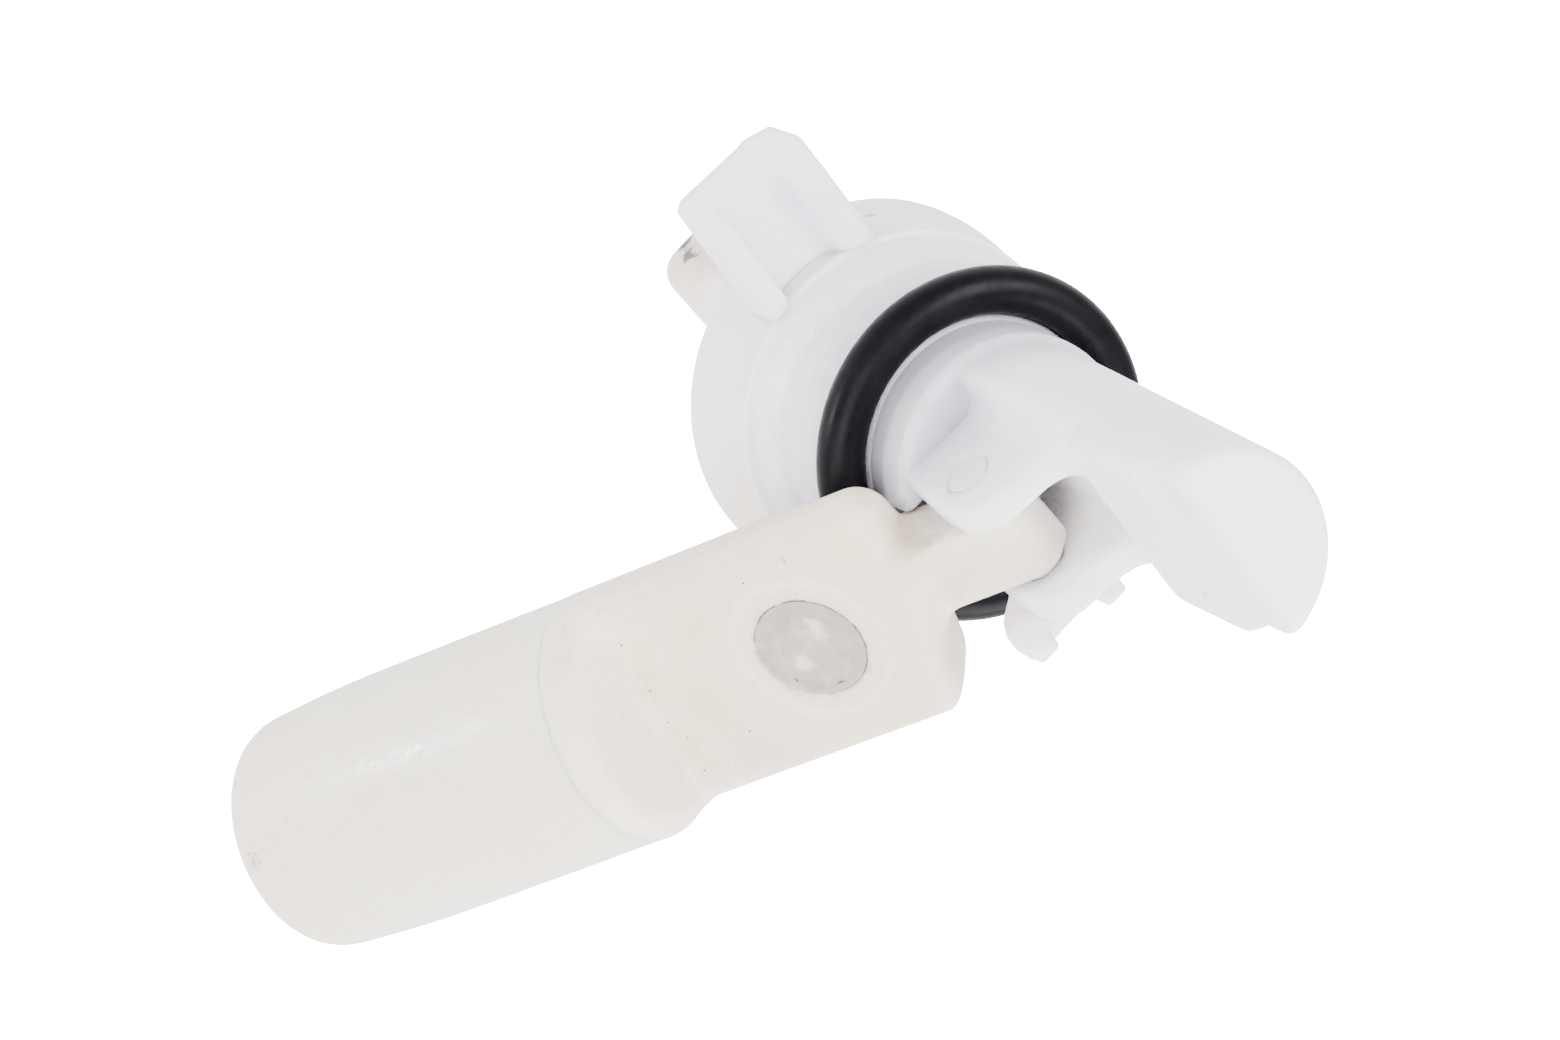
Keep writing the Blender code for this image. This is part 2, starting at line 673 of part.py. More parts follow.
def reed_glass(finish):
    """The glass tube of the reed switch, drawn in a little at both ends."""
    neck = 0.9 * MM
    bore = GLASS_BORE_RADIUS
    outline = [
        (bore, GLASS_FRONT),
        (GLASS_RADIUS - 0.15 * MM, GLASS_FRONT),
        (GLASS_RADIUS, GLASS_FRONT - neck),
        (GLASS_RADIUS, GLASS_REAR + neck),
        (GLASS_RADIUS - 0.15 * MM, GLASS_REAR),
        (bore, GLASS_REAR),
    ]
    return place("reed_glass", turned(outline, 20, (REED_X, REED_HEIGHT)), finish)


def wire_tail(x):
    """The last stretch of a wire, from the reed bore down to the crimp on a terminal at x."""
    return [
        (x * 0.8, 3.2 * MM, -5.6 * MM),
        (x, 1.4 * MM, -8.0 * MM),
        (x, 0.0, CRIMP_FRONT + 0.4 * MM),
        (x, 0.0, TERMINAL_FRONT + 2.0 * GAP),
    ]


def reed_leads(finish):
    """The two reeds, which overlap inside the glass, and their leads."""
    middle = (GLASS_REAR + GLASS_FRONT) / 2.0
    top = REED_HEIGHT + BLADE_OFFSET
    low = REED_HEIGHT - BLADE_OFFSET
    joint = FRONT_CRIMP_REAR + 1.5 * MM
    bend = [(x, REED_HEIGHT, z) for x, z in arc((0.0, GLASS_FRONT + 0.9 * MM), RETURN_X, 180.0, 0.0, 10)]
    front = [
        (REED_X, top, middle - 1.5 * MM),
        (REED_X, top, middle + 5.0 * MM),
        *bend,
        (RETURN_X, REED_HEIGHT, joint + GAP / 2.0),
    ]
    wire("reed_lead_front", front, WIRE_RADIUS, finish)
    rear = [
        (REED_X, low, middle + 1.5 * MM),
        (REED_X, low, 8.0 * MM),
        (REED_X, low, -4.2 * MM),
        *wire_tail(-TERMINAL_SPACING / 2.0),
    ]
    wire("reed_lead_rear", rear, WIRE_RADIUS, finish)


def return_wire(wire_finish, sleeve_finish):
    """The wire that brings the front lead back, in its insulating sleeve."""
    joint = FRONT_CRIMP_REAR + 1.5 * MM
    points = [
        (RETURN_X, REED_HEIGHT, joint - GAP / 2.0),
        (RETURN_X, REED_HEIGHT, 8.0 * MM),
        (RETURN_X, REED_HEIGHT, -4.2 * MM),
        *wire_tail(TERMINAL_SPACING / 2.0),
    ]
    wire("return_wire", points, WIRE_RADIUS, wire_finish)
    centre = (RETURN_X, REED_HEIGHT)
    sleeve = tube(0.9 * MM, WIRE_RADIUS + GAP, -3.6 * MM, FRONT_CRIMP_REAR - GAP, centre)
    place("wire_sleeve", sleeve, sleeve_finish)


def reed_carrier(finish):
    """The strip under the reed switch, with two cradle posts beside each end of the glass."""
    low = (-STRIP_HALF_WIDTH, STRIP_LOW, -3.8 * MM)
    high = (STRIP_HALF_WIDTH, STRIP_HIGH, BORE_FRONT - GAP)
    width = 0.8 * MM
    gap_to_glass = GLASS_RADIUS + GAP
    posts = []
    for x in (REED_X - gap_to_glass - width, REED_X + gap_to_glass - 0.5 * MM):
        for z in (GLASS_REAR + 1.5 * MM, GLASS_FRONT - 2.5 * MM):
            top = REED_HEIGHT if x < REED_X else REED_HEIGHT - GLASS_RADIUS
            posts.append(box((x, STRIP_HIGH - 0.2 * MM, z), (x + width, top, z + 1.0 * MM)))
    return joined("reed_carrier", [box(low, high), *posts], [], finish)


def build():
    """Makes every piece in its place."""
    clear_objects()
    white = material("white_moulding", (0.80, 0.80, 0.83), 0.45)
    cream = material("cream_moulding", (0.82, 0.79, 0.74), 0.5)
    rubber = material("seal_rubber", (0.012, 0.013, 0.017), 0.42)
    steel = material("pin_steel", (0.62, 0.61, 0.60), 0.3, 1.0)
    clip_plastic = material("clip_plastic", (0.79, 0.74, 0.72), 0.5)
    foam = material("float_plastic", (0.78, 0.75, 0.70), 0.5)
    ferrite = material("magnet_ferrite", (0.06, 0.06, 0.065), 0.6)
    disc = material("magnet_disc", (0.62, 0.57, 0.56), 0.4)
    black = material("carrier_plastic", (0.05, 0.05, 0.055), 0.5)
    tin = material("tinned_brass", (0.75, 0.73, 0.68), 0.3, 1.0)
    resin = material("potting_resin", (0.05, 0.05, 0.05), 0.35)
    clear_glass = material("switch_glass", (0.75, 0.86, 0.80), 0.05)
    copper = material("tinned_copper", (0.80, 0.78, 0.74), 0.3, 1.0)
    sleeving = material("sleeve_plastic", (0.80, 0.78, 0.70), 0.5)
    strip = material("strip_plastic", (0.20, 0.32, 0.24), 0.5)

    sensor_body(white)
    plug_housing(cream)
    o_ring(rubber)
    hinge_pin(steel)
    hinge_clip(clip_plastic)
    terminal_carrier(black)
    terminal_pin("terminal_pin_left", -1.0, tin)
    terminal_pin("terminal_pin_right", 1.0, tin)
    potting_plug(resin)
    crimps(tin)
    reed_glass(clear_glass)
    reed_leads(copper)
    return_wire(copper, sleeving)
    reed_carrier(strip)

    axle = frame("float_axle", PIVOT, (FLOAT_ANGLE, 0.0, 0.0))
    face = frame("float_face", (0.0, FLOAT_AXIS_N, 0.0), (0.0, 0.0, FACE_TURN), axle)
    float_holder(foam, axle, face)
    float_cup(foam, axle)
    magnet_parts(ferrite, disc, face)


build()
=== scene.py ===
"""The looks of a float level sensor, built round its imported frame.

Shapes are worked out in millimetres in the frame's own axes and written to their meshes in metres.
The float is worked out in its own axes: X along the hinge, N across the float towards the magnet
face, and S from the hinge pin along the float.
"""

import itertools
import json
import math

import bpy
import numpy as np
from mathutils import Matrix, Vector


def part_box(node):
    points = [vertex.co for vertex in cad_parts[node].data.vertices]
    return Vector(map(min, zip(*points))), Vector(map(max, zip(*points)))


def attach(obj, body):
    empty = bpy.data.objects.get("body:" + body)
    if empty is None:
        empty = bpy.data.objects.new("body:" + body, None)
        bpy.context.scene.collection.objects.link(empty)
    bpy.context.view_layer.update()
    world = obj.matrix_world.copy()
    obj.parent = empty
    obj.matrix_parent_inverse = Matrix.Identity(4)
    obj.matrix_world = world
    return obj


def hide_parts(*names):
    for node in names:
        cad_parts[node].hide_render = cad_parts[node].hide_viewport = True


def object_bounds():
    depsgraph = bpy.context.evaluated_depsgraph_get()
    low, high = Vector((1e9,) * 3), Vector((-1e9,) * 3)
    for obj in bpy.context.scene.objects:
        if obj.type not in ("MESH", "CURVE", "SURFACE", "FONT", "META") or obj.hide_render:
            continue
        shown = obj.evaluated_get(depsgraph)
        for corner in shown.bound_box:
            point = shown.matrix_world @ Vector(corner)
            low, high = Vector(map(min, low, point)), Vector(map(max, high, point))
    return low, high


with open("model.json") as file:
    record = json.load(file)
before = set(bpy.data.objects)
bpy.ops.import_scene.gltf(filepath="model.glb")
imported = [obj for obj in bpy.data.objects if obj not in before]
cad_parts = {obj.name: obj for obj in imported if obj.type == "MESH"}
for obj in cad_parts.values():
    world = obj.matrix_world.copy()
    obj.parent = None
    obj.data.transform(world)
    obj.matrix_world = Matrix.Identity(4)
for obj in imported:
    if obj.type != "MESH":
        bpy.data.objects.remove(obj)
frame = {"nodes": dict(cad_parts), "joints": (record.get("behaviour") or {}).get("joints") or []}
cad_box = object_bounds()

MM = 0.001


# ---------------------------------------------------------------- sizes, in millimetres


def span(node):
    """The lowest and highest corner of a CAD node, in millimetres."""
    low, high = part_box(node)
    return np.array(low) / MM, np.array(high) / MM


RING_HIGH = span("o_ring")[1]
CORD_RADIUS = RING_HIGH[2]
RING_RADIUS = RING_HIGH[0] - CORD_RADIUS
RING_STEPS = 200
CORD_STEPS = 48

PIVOT = np.array(frame["joints"][0]["pos_m"]) / MM
PIN_RADIUS = 1.68
PIN_SHANK_RADIUS = 1.4
PIN_BORE = 1.7
PIN_FACE = 6.1

NOSE_RADIUS = 9.5
NOSE_FRONT = 5.6
NOSE_RIM = 0.9
FRONT_REAR = -4.5
SEAT_RADIUS = 11.9
BAND_REAR_RADIUS = 13.4
BAND_FRONT = -8.4
LIP_RADIUS = 13.9
LIP_FRONT = -11.4
LIP_REAR = -12.2
SLEEVE_RADIUS = 11.6
SLEEVE_REAR = -16.9
ROOM_RADIUS = 10.0

FINGER_FRONT = span("sensor_body")[1][2]
FINGER_ROOT_RADIUS = 9.05
FINGER_TIP_RADIUS = 8.3
NECK_FLOOR = 0.6
PAD_DROP = 1.3
PAD_REAR = 20.8
PAD_CORNER = 3.0
PAD_FRONT = 30.7
TIP_FLOOR = 0.45
FLOOR_TILT = -0.07

EAR_INNER = 3.6
EAR_OUTER = 6.1
SLOT_TOP = -5.3
SLOT_FLOOR = 2.4
REED_BORE_RADIUS = 6.6
REED_BORE_FLOOR = 1.9
REED_BORE_FRONT = 33.8

TAB_TURN = math.radians(-3.5)
TAB_REAR = -15.1
TAB_PLATE_FRONT = -13.5
# Each rib's lower and upper side, edge radius, where it fades out, and its fillet.
TAB_RIBS = ((-4.3, -2.3, 0.5, -21.0, 0.7), (3.2, 6.1, 0.9, -20.2, 1.4))
TAB_RIB_HEIGHT = 2.4

DRUM_RADIUS = 14.8
DRUM_REAR = -19.6
SHROUD_REAR = -30.0
SHROUD_HALF_LENGTH = 14.5
SHROUD_HALF_WIDTH = 4.2
SHROUD_CORNER = 2.4
SHROUD_WALL = 1.5

FLOAT_ANGLE = math.radians(137.0)
FLOAT_RADIUS = 9.85
FLOAT_AXIS = 4.3
FLOAT_END = 68.2
SHOULDER = 33.2
BLOCK_START = 7.0
BLOCK_SLANT = 0.30
BLOCK_BLANK_END = 44.0
BLOCK_FLAT = 0.6
FACE_TURN = math.radians(8.0)
MAGNET_S = 17.4
DISC_RADIUS = 4.25
RELIEF_TOP = -0.9
RELIEF_BEND = 15.6
RELIEF_SLOPE = 0.95
LUG_HALF_WIDTH = 3.0
LUG_HALF_THICKNESS = 2.8
LUG_TAIL = -2.5
COLLAR = 2.3


# ---------------------------------------------------------------- paths and grids


def eased(corners, steps=7):
    """A path through (u, v, cut) corners with each corner eased, and its tangents.

    Each corner is replaced by the parabola (1-t)^2 A + 2 t (1-t) P + t^2 B, where A and B lie the
    corner's cut before and after it. The tangent is the parabola's derivative.
    """
    corners = np.array(corners, float)
    place = corners[:, :2]
    before = np.roll(place, 1, 0) - place
    after = np.roll(place, -1, 0) - place
    before /= np.maximum(np.linalg.norm(before, axis=1, keepdims=True), 1e-9)
    after /= np.maximum(np.linalg.norm(after, axis=1, keepdims=True), 1e-9)
    cut = np.maximum(corners[:, 2:3], 1e-4)
    start = (place + cut * before)[:, None]
    end = (place + cut * after)[:, None]
    middle = place[:, None]
    t = np.linspace(0.0, 1.0, steps)[None, :, None]
    points = (1 - t) ** 2 * start + 2 * t * (1 - t) * middle + t**2 * end
    tangents = (1 - t) * (middle - start) + t * (end - middle)
    tangents /= np.linalg.norm(tangents, axis=2, keepdims=True)
    return points.reshape(-1, 2), tangents.reshape(-1, 2)


def grid_faces(rows, columns):
    """The quads of a grid of points that is closed both ways."""
    i, j = np.meshgrid(np.arange(rows), np.arange(columns), indexing="ij")
    i, j = i.ravel(), j.ravel()
    k, m = (i + 1) % rows, (j + 1) % columns
    return np.stack([i * columns + j, i * columns + m, k * columns + m, k * columns + j], 1)


def merged(points, normals, faces):
    """The same surface with points that coincide made one, and narrow quads made triangles."""
    keys = np.round(points, 4)
    _, first, index = np.unique(keys, axis=0, return_index=True, return_inverse=True)
    faces = index.ravel()[faces]
    total = np.zeros((len(first), 3))
    np.add.at(total, index.ravel(), normals)
    total /= np.maximum(np.linalg.norm(total, axis=1, keepdims=True), 1e-9)
    same = faces == np.roll(faces, -1, 1)
    quads = faces[~same.any(1)]
    narrow = faces[same.sum(1) == 1]
    gone = same[same.sum(1) == 1]
    triangles = narrow[~gone].reshape(-1, 3)
    return points[first], total, quads.tolist() + triangles.tolist()


def outward(points, faces):
    """True if a closed surface's faces point away from its inside: its volume is positive."""
    tri = np.array([[f[0], f[i], f[i + 1]] for f in faces for i in range(1, len(f) - 1)])
    a, b, c = points[tri[:, 0]], points[tri[:, 1]], points[tri[:, 2]]
    return np.einsum("ij,ij->i", a, np.cross(b, c)).sum() > 0


def put(name, points, normals, faces, body, slot, finish, stands_for=()):
    """A smooth object from a closed surface in millimetres, riding on a body."""
    if not outward(points, faces):
        faces = [face[::-1] for face in faces]
    mesh = bpy.data.meshes.new(name)
    mesh.from_pydata((points * MM).tolist(), [], faces)
    mesh.shade_smooth()
    mesh.normals_split_custom_set_from_vertices(normals.tolist())
    mesh.materials.append(finish)
    made = bpy.data.objects.new(name, mesh)
    bpy.context.scene.collection.objects.link(made)
    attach(made, body)
    if stands_for:
        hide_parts(*stands_for)
    return made


def float_axes(points, is_place=True):
    """Points or directions from the float's own axes (X, N, S) to the frame's."""
    x, n, s = points[..., 0], points[..., 1], points[..., 2]
    turn_cos, turn_sin = math.cos(FLOAT_ANGLE), math.sin(FLOAT_ANGLE)
    turned = np.stack([x, n * turn_cos - s * turn_sin, n * turn_sin + s * turn_cos], -1)
    return turned + PIVOT if is_place else turned


def lathe(corners, steps=144, centre=(0.0, 0.0)):
    """A closed (radius, height) profile turned about a line along the third axis.

    Point (r cos a, r sin a, h); its normal is the profile's tangent turned a quarter, turned by a.
    """
    path, tangent = eased(corners)
    angle = np.linspace(0.0, 2 * math.pi, steps, endpoint=False)[None, :]
    radius, height = path[:, :1], path[:, 1:]
    flat = np.ones_like(angle)
    x = centre[0] + radius * np.cos(angle)
    y = centre[1] + radius * np.sin(angle)
    points = np.stack([x, y, height * flat], -1)
    side, rise = tangent[:, 1:], -tangent[:, :1]
    normals = np.stack([side * np.cos(angle), side * np.sin(angle), rise * flat], -1)
    facing = np.sign(corners_area(corners))
    return (
        points.reshape(-1, 3),
        facing * normals.reshape(-1, 3),
        grid_faces(len(path), steps),
    )


def corners_area(corners):
    """The signed area inside a closed outline: half the sum of u dv - v du."""
    u, v = np.array(corners, float)[:, :2].T
    return 0.5 * np.sum(u * np.roll(v, -1) - v * np.roll(u, -1))


def tube_wall(outline, section):
    """A wall with a rounded-rectangle plan and a section of (inset, height) points.

    Point = outline point - inset times the outline's outward normal, at the section's height.
    """
    path, tangent = eased(outline, 9)
    out = np.stack([tangent[:, 1], -tangent[:, 0]], 1) * np.sign(corners_area(outline))
    inset, lean = eased(section, 6)
    plan = path[None] - inset[:, :1, None] * out[None]
    height = np.broadcast_to(inset[:, 1:, None], plan.shape[:2] + (1,))
    points = np.concatenate([plan, height], -1)
    way = np.sign(corners_area(section))
    sideways = -lean[:, 1][:, None, None] * out[None] * way
    upward = np.broadcast_to(-lean[:, 0][:, None, None] * way, plan.shape[:2] + (1,))
    normals = np.concatenate([sideways, upward], -1)
    return points.reshape(-1, 3), normals.reshape(-1, 3), grid_faces(len(inset), len(path))


# ---------------------------------------------------------------- fields, for blended mouldings


def blend_out(a, b, reach):
    """The union of two fields with a fillet: the lesser, less a parabola where they are close."""
    share = np.clip(0.5 + 0.5 * (b - a) / reach, 0.0, 1.0)
    return b + (a - b) * share - reach * share * (1.0 - share)


def blend_in(a, b, reach):
    """What two fields share, with an eased edge."""
    return -blend_out(-a, -b, reach)


def edged(side, face, radius):
    """A plate from its plan's field and its faces' field, with round edges of one radius."""
    u, v = side + radius, face + radius
    return np.minimum(np.maximum(u, v), 0.0) + np.hypot(np.maximum(u, 0), np.maximum(v, 0)) - radius


def block_field(p, low, high, radius):
    """A box with round edges: the distance to a smaller box, less the radius."""
    middle = (np.array(low) + np.array(high)) / 2.0
    half = (np.array(high) - np.array(low)) / 2.0 - radius
    away = np.abs(p - middle) - half
    outside = np.linalg.norm(np.maximum(away, 0.0), axis=-1)
    return outside + np.minimum(away.max(-1), 0.0) - radius


def outline_field(u, v, outline):
    """Distance to a closed outline, negative inside, by its nearest edge and a crossing count."""
    nearest = np.full(u.shape, np.inf)
    inside = np.zeros(u.shape, bool)
    for (au, av), (bu, bv) in zip(outline, outline[1:] + outline[:1]):
        eu, ev = bu - au, bv - av
        along = np.clip(((u - au) * eu + (v - av) * ev) / (eu * eu + ev * ev), 0.0, 1.0)
        nearest = np.minimum(nearest, np.hypot(u - au - along * eu, v - av - along * ev))
        if ev:
            inside ^= ((av > v) != (bv > v)) & (u < au + (v - av) * eu / ev)
    return np.where(inside, -nearest, nearest)


def ease(value, start, end):
    """0 before start, 1 after end, and 3 t^2 - 2 t^3 between them."""
    t = np.clip((value - start) / (end - start), 0.0, 1.0)
    return t * t * (3.0 - 2.0 * t)


def slope(field, points, reach=0.02):
    """The field's gradient, by differences across each point."""
    steps = np.eye(3) * reach
    return np.stack([field(points + s) - field(points - s) for s in steps], -1) / (2 * reach)


def skin(field, low, high, cell):
    """The zero surface of a field, as points, normals and quads.

    Each grid cell that the surface crosses gets one point, at the mean of its edge crossings, and
    each crossed grid edge gets the quad of the four cells round it. The points then slide along the
    gradient onto the surface: p - f g / |g|^2, three times.
    """
    axes = [np.arange(a, b + cell, cell) for a, b in zip(low, high)]
    value = field(np.stack(np.meshgrid(*axes, indexing="ij"), -1))
    cells = tuple(n - 1 for n in value.shape)
    corners = list(itertools.product((0, 1), repeat=3))
    parts = [value[tuple(slice(o, o + n) for o, n in zip(c, cells))] for c in corners]
    stack = np.stack(parts, -1)
    mixed = (stack < 0).any(-1) & (stack >= 0).any(-1)
    numbers = np.full(cells, -1)
    numbers[mixed] = np.arange(mixed.sum())
    at_corner = stack[mixed]
    total = np.zeros((len(at_corner), 3))
    count = np.zeros((len(at_corner), 1))
    for a, b in itertools.combinations(range(8), 2):
        start, end = np.array(corners[a]), np.array(corners[b])
        if np.abs(start - end).sum() != 1:
            continue
        va, vb = at_corner[:, a : a + 1], at_corner[:, b : b + 1]
        cross = (va < 0) != (vb < 0)
        share = np.where(cross, va / np.where(cross, va - vb, 1.0), 0.0)
        total += cross * (start + share * (end - start))
        count += cross
    points = np.array(low) + cell * (np.argwhere(mixed) + total / count)
    for _ in range(3):
        gradient = slope(field, points)
        size = np.maximum((gradient**2).sum(-1, keepdims=True), 0.2)
        step = field(points)[:, None] * gradient / size
        points = points - np.clip(step, -0.4 * cell, 0.4 * cell)
    normals = slope(field, points)
    normals /= np.maximum(np.linalg.norm(normals, axis=1, keepdims=True), 1e-9)
    return points, normals, skin_faces(value < 0, numbers).tolist()


def skin_faces(inside, numbers):
    """One quad for each grid edge whose ends lie on different sides of the surface."""
    faces = []
    for axis in range(3):
        u, v = (axis + 1) % 3, (axis + 2) % 3
        low = np.take(inside, range(inside.shape[axis] - 1), axis)
        high = np.take(inside, range(1, inside.shape[axis]), axis)
        place = np.argwhere(low != high)
        place = place[(place[:, u] > 0) & (place[:, v] > 0)]
        place = place[(place[:, u] < numbers.shape[u]) & (place[:, v] < numbers.shape[v])]
        quad = []
        for du, dv in ((1, 1), (0, 1), (0, 0), (1, 0)):
            cell = place.copy()
            cell[:, u] -= du
            cell[:, v] -= dv
            quad.append(numbers[tuple(cell.T)])
        quad = np.stack(quad, 1)
        leaves = low[tuple(place.T)]
        faces.append(np.where(leaves[:, None], quad, quad[:, ::-1]))
    return np.concatenate(faces)


# ---------------------------------------------------------------- node groups


def feed(tree, socket, value):
    """Sets a socket to a value, or links it to the socket that feeds it."""
    if isinstance(value, bpy.types.NodeSocket):
        tree.links.new(value, socket)
    else:
        socket.default_value = value


def add(tree, kind, inputs=None, **settings):
    """A shader node with its settings; inputs take values or the sockets that feed them."""
    made = tree.nodes.new("ShaderNode" + kind)
    for key, value in settings.items():
        setattr(made, key, value)
    for key, value in (inputs or {}).items():
        feed(tree, made.inputs[key], value)
    return made


def group(name, inputs, outputs):
    """An empty node group with named sockets, and its two end nodes."""
    tree = bpy.data.node_groups.new(name, "ShaderNodeTree")
    for title, kind, value in inputs:
        socket = tree.interface.new_socket(title, in_out="INPUT", socket_type="NodeSocket" + kind)
        if value is not None:
            socket.default_value = value
    for title in outputs:
        tree.interface.new_socket(title, in_out="OUTPUT", socket_type="NodeSocketFloat")
    return tree, tree.nodes.new("NodeGroupInput").outputs, tree.nodes.new("NodeGroupOutput").inputs


def maths(tree, operation, a, b=0.0, clamp=False):
    """The result of one Math node."""
    return add(tree, "Math", {0: a, 1: b}, operation=operation, use_clamp=clamp).outputs[0]


def ranged(tree, value, low, high, to_low=0.0, to_high=1.0):
    """A value carried smoothly from one range to another."""
    inputs = {0: value, 1: low, 2: high, 3: to_low, 4: to_high}
    return add(tree, "MapRange", inputs, interpolation_type="SMOOTHSTEP").outputs[0]


def patches_group():
    """Slow uneven patches, from 0 to 1."""
    tree, source, result = group(
        "patches",
        [("Vector", "Vector", None), ("Scale", "Float", 200.0), ("Detail", "Float", 4.0)],
        ["Value"],
    )
    noise = add(
        tree,
        "TexNoise",
        {"Vector": source["Vector"], "Scale": source["Scale"], "Detail": source["Detail"]},
    )
    tree.links.new(ranged(tree, noise.outputs["Fac"], 0.32, 0.68), result["Value"])
    return tree


def specks_group():
    """Sparse round specks of mixed sizes, each round the point of one of a few chosen cells."""
    tree, source, result = group(
        "specks",
        [
            ("Vector", "Vector", None),
            ("Scale", "Float", 400.0),
            ("Size", "Float", 0.15),
            ("Share", "Float", 0.2),
        ],
        ["Mask"],
    )
    inputs = {"Vector": source["Vector"], "Scale": source["Scale"]}
    cells = add(tree, "TexVoronoi", inputs)
    chance = add(tree, "SeparateColor", {0: cells.outputs["Color"]})
    chosen = maths(tree, "LESS_THAN", chance.outputs[0], source["Share"])
    size = maths(tree, "MULTIPLY", source["Size"], maths(tree, "ADD", chance.outputs[1], 0.35))
    inner = maths(tree, "MULTIPLY", size, 0.55)
    near = ranged(tree, cells.outputs["Distance"], inner, size, 1.0, 0.0)
    tree.links.new(maths(tree, "MULTIPLY", near, chosen), result["Mask"])
    return tree


def strokes_group():
    """Short fine strokes: specks in a space that is stretched along one line and gently bent."""
    tree, source, result = group(
        "strokes",
        [
            ("Vector", "Vector", None),
            ("Turn", "Vector", (0.0, 0.0, 0.0)),
            ("Stretch", "Vector", (300.0, 300.0, 40.0)),
            ("Size", "Float", 0.1),
            ("Share", "Float", 0.2),
        ],
        ["Mask"],
    )
    bend = add(tree, "TexNoise", {"Vector": source["Vector"], "Scale": 260.0, "Detail": 1.0})
    centred = add(
        tree, "VectorMath", {0: bend.outputs["Color"], 1: (0.5, 0.5, 0.5)}, operation="SUBTRACT"
    )
    small = add(tree, "VectorMath", {0: centred.outputs[0], 3: 0.0016}, operation="SCALE")
    moved = add(tree, "VectorMath", {0: source["Vector"], 1: small.outputs[0]}, operation="ADD")
    turned = add(
        tree,
        "VectorRotate",
        {"Vector": moved.outputs[0], "Rotation": source["Turn"]},
        rotation_type="EULER_XYZ",
    )
    long = add(
        tree, "VectorMath", {0: turned.outputs[0], 1: source["Stretch"]}, operation="MULTIPLY"
    )
    cells = add(tree, "TexVoronoi", {"Vector": long.outputs[0], "Scale": 1.0})
    chance = add(tree, "SeparateColor", {0: cells.outputs["Color"]})
    chosen = maths(tree, "LESS_THAN", chance.outputs[0], source["Share"])
    inner = maths(tree, "MULTIPLY", source["Size"], 0.4)
    near = ranged(tree, cells.outputs["Distance"], inner, source["Size"], 1.0, 0.0)
    tree.links.new(maths(tree, "MULTIPLY", near, chosen), result["Mask"])
    return tree


def mark_group():
    """One soft mark round a place: its radii differ by axis and noise eats into its edge."""
    tree, source, result = group(
        "mark",
        [
            ("Vector", "Vector", None),
            ("Centre", "Vector", (0.0, 0.0, 0.0)),
            ("Radii", "Vector", (0.001, 0.001, 0.001)),
            ("Softness", "Float", 0.5),
            ("Raggedness", "Float", 0.3),
            ("Grain", "Float", 900.0),
        ],
        ["Mask"],
    )
    away = add(
        tree, "VectorMath", {0: source["Vector"], 1: source["Centre"]}, operation="SUBTRACT"
    )
    scaled = add(tree, "VectorMath", {0: away.outputs[0], 1: source["Radii"]}, operation="DIVIDE")
    distance = add(tree, "VectorMath", {0: scaled.outputs[0]}, operation="LENGTH").outputs["Value"]
    noise = add(tree, "TexNoise", {"Vector": source["Vector"], "Scale": source["Grain"]})
    ragged = maths(tree, "SUBTRACT", noise.outputs["Fac"], 0.5)
    ragged = maths(tree, "MULTIPLY", ragged, maths(tree, "MULTIPLY", source["Raggedness"], 4.0))
    distance = maths(tree, "ADD", distance, ragged)
    inner = maths(tree, "SUBTRACT", 1.0, source["Softness"])
    tree.links.new(ranged(tree, distance, inner, 1.0, 1.0, 0.0), result["Mask"])
    return tree


def grain_group():
    """Fine moulded grain as a height: two sizes of noise, the finer one at half strength."""
    tree, source, result = group(
        "grain", [("Vector", "Vector", None), ("Scale", "Float", 3000.0)], ["Height"]
    )
    coarse = add(tree, "TexNoise", {"Vector": source["Vector"], "Scale": source["Scale"]})
    finer = maths(tree, "MULTIPLY", source["Scale"], 3.1)
    fine = add(tree, "TexNoise", {"Vector": source["Vector"], "Scale": finer, "Detail": 1.0})
    half = maths(tree, "MULTIPLY", fine.outputs["Fac"], 0.5)
    tree.links.new(maths(tree, "ADD", coarse.outputs["Fac"], half), result["Height"])
    return tree


GROUPS = {
    "patches": patches_group(),
    "specks": specks_group(),
    "strokes": strokes_group(),
    "mark": mark_group(),
    "grain": grain_group(),
}


# ---------------------------------------------------------------- materials


# The Mix node's sockets for colours, which share their names with those for other types.
MIX_FACTOR, MIX_FIRST, MIX_SECOND, MIX_RESULT = 0, 6, 7, 2


